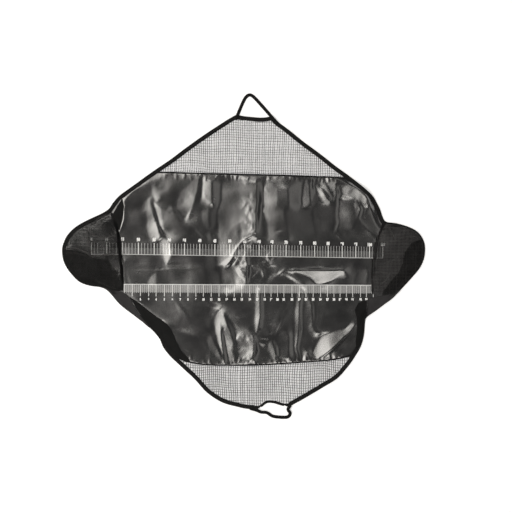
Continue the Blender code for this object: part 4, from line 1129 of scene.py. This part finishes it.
# End pockets: a dome of fine black mesh over each end of the trough, open towards the middle.
# Its threads follow the solid's own surface, with the sag and creases of slack mesh, and its mouth is bound.
POCKET_MOUTH = {
    "left": ((112.6, 213), (116, 222), (119.5, 233), (123, 266.5), (124, 289.5), (125, 292.5)),
    "right": ((384, 221.6), (376.4, 237), (373, 257), (371, 284), (370.4, 298)),
}
POCKET_CREASES = {
    "left": (
        ((65, 249), (75, 248), (86, 252), (93, 257)), ((68, 252.5), (80, 254), (93, 258)),
        ((90, 228), (95, 235), (107, 238), (115, 236)),
        ((87.5, 231), (88.5, 240), (90, 247)), ((91, 226), (97, 219.5), (107, 215)),
        ((94, 227), (100, 222), (108, 217)),
        ((93, 257), (104, 255), (116, 254)), ((95, 277), (99, 282), (109, 286), (122, 291)),
    ),
    "right": (
        ((388.5, 226), (391, 233), (395, 239)), ((399, 238), (408, 236.6), (417, 236.6)),
        ((383, 263), (390, 261), (397, 257)),
        ((374, 272), (381, 272), (388, 273.6)), ((399, 271.5), (403, 269), (408, 264.6)),
        ((380, 284), (386, 279), (389, 272)),
    ),
}
# Where each pocket has a second, darker layer of net, which paints the shade on its lower part.
DOUBLED = {
    "left": ((58, 248), (75, 250.5), (86, 254), (95, 258), (104, 260), (112, 268), (121, 280), (122, 296), (95, 292),
        (70, 282), (58, 262)),
    "right": ((428, 236), (411, 243), (404, 252), (402, 262), (398, 272), (390, 281), (384, 290), (378, 300),
        (404, 292), (430, 262)),
}
# The left pocket's threads are far darker than the right's: painted shade on the left pocket.
POCKET_THREAD = {
    "left": thread_material("left_pocket_thread_painted_shade", (0.001, 0.001, 0.001), (0.022, 0.0215, 0.0215), 34.0),
    "right": thread_material("right_pocket_thread", (0.014, 0.0135, 0.0135), (0.13, 0.125, 0.125), 34.0),
}
# Near-black thread of the second layer of net: painted shade on the lower part of each pocket.
UNDERLAYER_SHADE_THREAD = thread_material("pocket_underlayer_painted_shade", (0.003, 0.003, 0.003), (0.022, 0.0215, 0.0215), 60.0)
# Paler thread laid along the pocket folds: painted highlights on them.
FOLD_HIGHLIGHT_THREAD = thread_material("pocket_fold_painted_highlight", (0.02, 0.0195, 0.0195), (0.11, 0.106, 0.104), 120.0)
POCKET_RIM = 0.0045
POCKET_PITCHES, DOUBLED_PITCHES = (0.0044, 0.0046), (0.0031, 0.0033)
MOUTH_SECTION = ((0.0, -0.6), (7.5, -0.6), (8.0, 0.0), (7.5, 0.8), (4.0, 1.1), (0.5, 0.8), (-0.6, 0.1))


def tops_of(name, x, y):
    """The top of a CAD node at places on the floor, or nan beside it."""
    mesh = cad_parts[name].data
    tree = BVHTree.FromPolygons([v.co for v in mesh.vertices], [p.vertices for p in mesh.polygons])
    found = np.full(x.shape, np.nan)
    for index in np.ndindex(x.shape):
        hit = tree.ray_cast(Vector((x[index], y[index], 0.2)), Vector((0, 0, -1)))[0]
        if hit is not None:
            found[index] = hit.z
    return found


def drawn_threads(creases, height):
    """Points and edges of threads drawn together along the folds of a net, for the paler strands of painted highlight
    there.
    """
    points, edges = [], []
    pick = random.Random(5)
    for places in creases:
        run = smooth(places, 0.003)
        for strand in range(5):
            x = run[:, 0] + [pick.gauss(0, 0.0016) for _ in run]
            y = run[:, 1] + (strand - 2) * 0.0009 + [pick.gauss(0, 0.0006) for _ in run]
            edges.extend((len(points) + step, len(points) + step + 1) for step in range(len(run) - 1))
            points.extend(zip(x, y, height(x, y) + 0.0005))
    return points, edges


for side, way, end_x, low_hem in (("left", -1, -0.5825, 0.004), ("right", 1, 0.5825, 0.02)):
    mouth = smooth(POCKET_MOUTH[side])
    creases = POCKET_CREASES[side]
    ring = placed(DOUBLED[side])
    xs = np.linspace(*sorted((mouth[:, 0].mean() * 0.97, end_x)), 60)
    ys = np.linspace(-0.16, 0.15, 90)
    pocket_x, pocket_y = np.meshgrid(xs, ys, indexing="ij")
    rise = tops_of(f"{side}_end_pocket", pocket_x, pocket_y)
    known = ~np.isnan(rise)
    rise = np.where(known, rise, POCKET_RIM)
    for _ in range(2):
        beside_it = rise[2:, 1:-1] + rise[:-2, 1:-1] + rise[1:-1, 2:] + rise[1:-1, :-2]
        rise[1:-1, 1:-1] = (rise[1:-1, 1:-1] * 2 + beside_it) / 6
    for places in creases:
        rise += sampled(crest(places, 4.0, 3, 4), pocket_x, pocket_y) * known
    rise += 0.0012 * ripple(pocket_x, pocket_y, 0.05, 8) * known

    def pocket_height(x, y):
        return sampled(rise, x, y, (xs[0], ys[0]), (xs[1] - xs[0], ys[1] - ys[0]))

    def pocket_place(x, y):
        out = (x - np.interp(y, mouth[::-1, 1], mouth[::-1, 0])) * way > 0
        return out & (y > mouth[:, 1].min() - low_hem) & (y < mouth[:, 1].max() + 0.03) & within(x, y, HIDDEN_EDGE)

    lines = net_lines(pocket_place, pocket_height, POCKET_PITCHES, 0.0002, 0.0, 31)
    net = grown(f"{side}_pocket_net", *lines, THREAD_TREE, (0.00068, 4), POCKET_THREAD[side])
    # A second, darker layer of net over the lower part, as painted shade there, and paler threads along its folds, as
    # painted highlights.
    lines = net_lines(
        lambda x, y: pocket_place(x, y) & inside(x, y, ring), lambda x, y: pocket_height(x, y) + 0.001,
        DOUBLED_PITCHES, 0.0002, 0.0, 37)
    joined(net, grown(f"{side}_pocket_shade_underlayer", *lines, THREAD_TREE, (0.00085, 4), UNDERLAYER_SHADE_THREAD))
    lines = drawn_threads(creases, pocket_height)
    joined(net, grown(f"{side}_pocket_fold_highlights", *lines, THREAD_TREE, (0.0004, 4), FOLD_HIGHLIGHT_THREAD))
    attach(net, "trough")
    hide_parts(f"{side}_end_pocket")
    covered = float(pocket_place(mesh_x, mesh_y).sum()) * GRID * GRID

    name = f"{side}_mouth_binding"
    tape = show(name, swept(name, mouth, sideways(mouth, way), MOUTH_SECTION, pocket_height, 0.03, 4), BINDING)
    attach(tape, "trough")
    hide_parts(f"{side}_pocket_mouth_tape")

# Gussets: the uncoated grey side of the cloth, turned out below each pocket.
# They lie on the panel.
REVERSE_AREAS = {
    "left": ((99.5, 285.8), (110, 289), (124, 292.6), (131, 299), (135, 308), (142, 318), (152.6, 330), (148, 326.6),
        (136, 316.2), (120, 303.7), (109, 291.2)),
    "right": ((402, 289), (388, 294.6), (368.6, 298.4), (367.2, 316.6), (377, 309.4), (385.5, 303), (393, 297.4)),
}
PATCH_GRID = 0.0024
GUSSET_LIFT, GUSSET_WAVES = 0.0026, 0.0006


def patch(name, places, material, height):
    """A thin sheet, cut to places in the frame and laid on the panel: gusset cloth, or a black sheet of painted shade.
    """
    ring = placed(places)
    return show(name, sheet_mesh(name, lambda x, y: inside(x, y, ring), PATCH_GRID, height, ring=ring), material)


for side, places in REVERSE_AREAS.items():
    gusset = patch(
        f"{side}_gusset_cloth", places, REVERSE,
        lambda x, y: lie(x, y) + GUSSET_LIFT + GUSSET_WAVES * ripple(x, y, 0.05, 7))
    bend(gusset)
    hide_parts(f"{side}_pocket_gusset")

# Corner shade: dull black sheets laid at three corners, where the pockets meet the panel; they are painted shade, dark
# where the cloth lies in shadow.
# Each lies on the panel.
SHADE_SHEET_LIFT = 0.0016
SHADE_SHEET = plain_material("painted_shade_black", (0.004, 0.004, 0.004), (0.009, 0.009, 0.009), 0.85)
for name, fold, size, places in (
    ("upper_left_painted_shade", "upper_fold", (0.11, 0.035),
        ((122.2, 198.2), (116.8, 207), (112.6, 214.6), (113.6, 217.6), (116.6, 223), (119.4, 231), (122.6, 219),
        (124, 206))),
    ("lower_left_painted_shade", "lower_fold", (0.22, 0.07),
        ((125, 293), (133.5, 299), (143, 306), (157, 317), (167, 323.5), (172, 330), (176, 340), (181, 350),
        (190, 360), (188, 361.6), (178, 357.6), (169.5, 351.6), (165, 345), (160, 338), (151.6, 328.2), (142, 317),
        (135.5, 307), (131.5, 299))),
    ("lower_right_painted_shade", "lower_fold", (0.16, 0.035),
        ((366.3, 300), (366.6, 317), (364.2, 322), (363.5, 334), (360, 346), (357, 350), (355.5, 341), (357, 328),
        (356.5, 318), (354.5, 310), (358, 303))),
):
    shade_sheet = patch(name, places, SHADE_SHEET, lambda x, y: lie(x, y) + SHADE_SHEET_LIFT)
    bend(shade_sheet)

# Hanging loops: black webbing, laid flat, with each foot sewn to the end of a side binding.
STRAP_BEND_REACH = 0.004
UPPER_LOOP = (
    (235.6, 119.8), (236.8, 117), (240.5, 108), (243.3, 101.6), (245.6, 97.6), (248.4, 95.2), (251.6, 95.4), (256, 99.2),
    (262, 105.8), (268, 112.6), (272.5, 118), (277.5, 123.4),
)
LOWER_LOOP = (
    (250, 408.2), (256.5, 410), (261, 412), (266, 412.4), (269.2, 414), (272.8, 416.2), (280, 417.2), (286.8, 417.2),
    (289.6, 415.2), (290, 412.6), (288, 409.2), (290.5, 405.2),
)
STRAP = tape_material("webbing_weave", (0.003, 0.003, 0.0033), (0.016, 0.0155, 0.0155), 0.0026, 700.0)
STRAP_SECTION = ((-5.2, 0.5), (-4.8, 0.0), (4.8, 0.0), (5.2, 0.5), (5.2, 1.6), (4.8, 2.1), (-4.8, 2.1), (-5.2, 1.6))
for side, places, way, line_y, slope in (
    ("upper", UPPER_LOOP, 1, 0.4483, -0.1083),
    ("lower", LOWER_LOOP, -1, -0.5015, 0.0833),
):
    def strap_base(x, y):
        on_flap = np.clip(((line_y - y) * way + 0.006) / 0.008, 0, 1)
        return 0.0004 + (lie(x, y) + 0.0016) * on_flap

    name = f"{side}_loop_strap"
    path = smooth(places, 0.003)
    strap = show(name, swept(name, path, sideways(path, 1), STRAP_SECTION, strap_base, 0.02, 3), STRAP)
    line, ahead = Vector((0, line_y, 0)), Vector((-slope, 1, 0)).normalized() * way * STRAP_BEND_REACH
    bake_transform(strap)
    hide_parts(f"{side}_hanging_loop")

# Numbers printed beside the marks of both rulers: plain figures in white ink.
# They are thin shapes just over the coating, made from Blender's own letters.
INK = plain_material("white_ink", (0.9, 0.9, 0.89), (0.97, 0.97, 0.96), 0.5)
FIGURE_WIDTH, FIGURE_STEP = 0.66, 0.44
CM_FIGURE, INCH_FIGURE = 0.0115, 0.009
INCH_FIGURES_PY = 299.4


def digit_shapes():
    """Corners and faces of the ten digits, one unit tall and centred."""
    shapes = []
    for digit in range(10):
        curve = bpy.data.curves.new("digit", "FONT")
        curve.body, curve.offset, curve.resolution_u = str(digit), 0.14, 3
        curve.align_x, curve.align_y = "CENTER", "CENTER"
        thing = show("digit", curve)
        bpy.context.view_layer.update()
        mesh = thing.evaluated_get(bpy.context.evaluated_depsgraph_get()).to_mesh()
        shapes.append(([tuple(v.co) for v in mesh.vertices], [tuple(p.vertices) for p in mesh.polygons]))
        bpy.data.objects.remove(thing)
    return shapes


def numbers_mesh(entries):
    """One mesh of numbers laid on the cloth, from numbers with their places and sizes."""
    shapes = digit_shapes()
    points, faces = [], []
    for number, x, y, size in entries:
        digits = str(number)
        for index, digit in enumerate(digits):
            corners, sides = shapes[int(digit)]
            first = len(points)
            shift = (index - (len(digits) - 1) / 2) * FIGURE_STEP
            points.extend((x + (corner[0] * FIGURE_WIDTH + shift) * size, y + corner[1] * size) for corner in corners)
            faces.extend(tuple(first + corner for corner in side) for side in sides)
    mesh = bpy.data.meshes.new("printed_numbers")
    mesh.from_pydata(above(np.array(points), lambda x, y: lie(x, y) + CLOTH_PLY / 2 + 0.0003).tolist(), [], faces)
    return mesh


entries = [(count * 5, *at(mark, np.interp(mark, (122, 259, 369), (239.3, 241.8, 244.8))), CM_FIGURE)
           for count, mark in enumerate(CM_MARKS[1:-1], 1)]
entries += [(inch, *at(mark, INCH_FIGURES_PY), INCH_FIGURE) for inch, mark in enumerate(INCH_MARKS[2:-2], 1)]
printed = show("printed_numbers", numbers_mesh(entries), INK)
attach(printed, "trough")

# Bar tacks: a dense zigzag of thread through each foot of the loops, which sews it to the binding.
# They are made of the same stitches as the seams, set closer, on the places of the solid's tacks.
TACK_ROWS = 7
TACK_STEP, TACK_LEAN, TACK_REACH = 0.0012, 0.0006, 0.0032
TACK_LIFT = 0.0052
for end in ("upper", "lower"):
    for side in ("left", "right"):
        low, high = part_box(f"{end}_loop_{side}_tack")
        middle = (low + high) / 2
        starts = [middle.x + (index - TACK_ROWS // 2) * TACK_STEP for index in range(TACK_ROWS)]
        rows = [(x + over, middle.y + up) for x in starts for over, up in ((0, -TACK_REACH), (TACK_LEAN, TACK_REACH))]
        line = above(np.array(rows), lambda x, y: lie(x, y) + TACK_LIFT)
        tack = stitched(f"{end}_{side}_bar_tack", line, 0.0011, 0.0009)
        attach(tack, f"{end}_flap")
        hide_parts(f"{end}_loop_{side}_tack")

low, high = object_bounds()
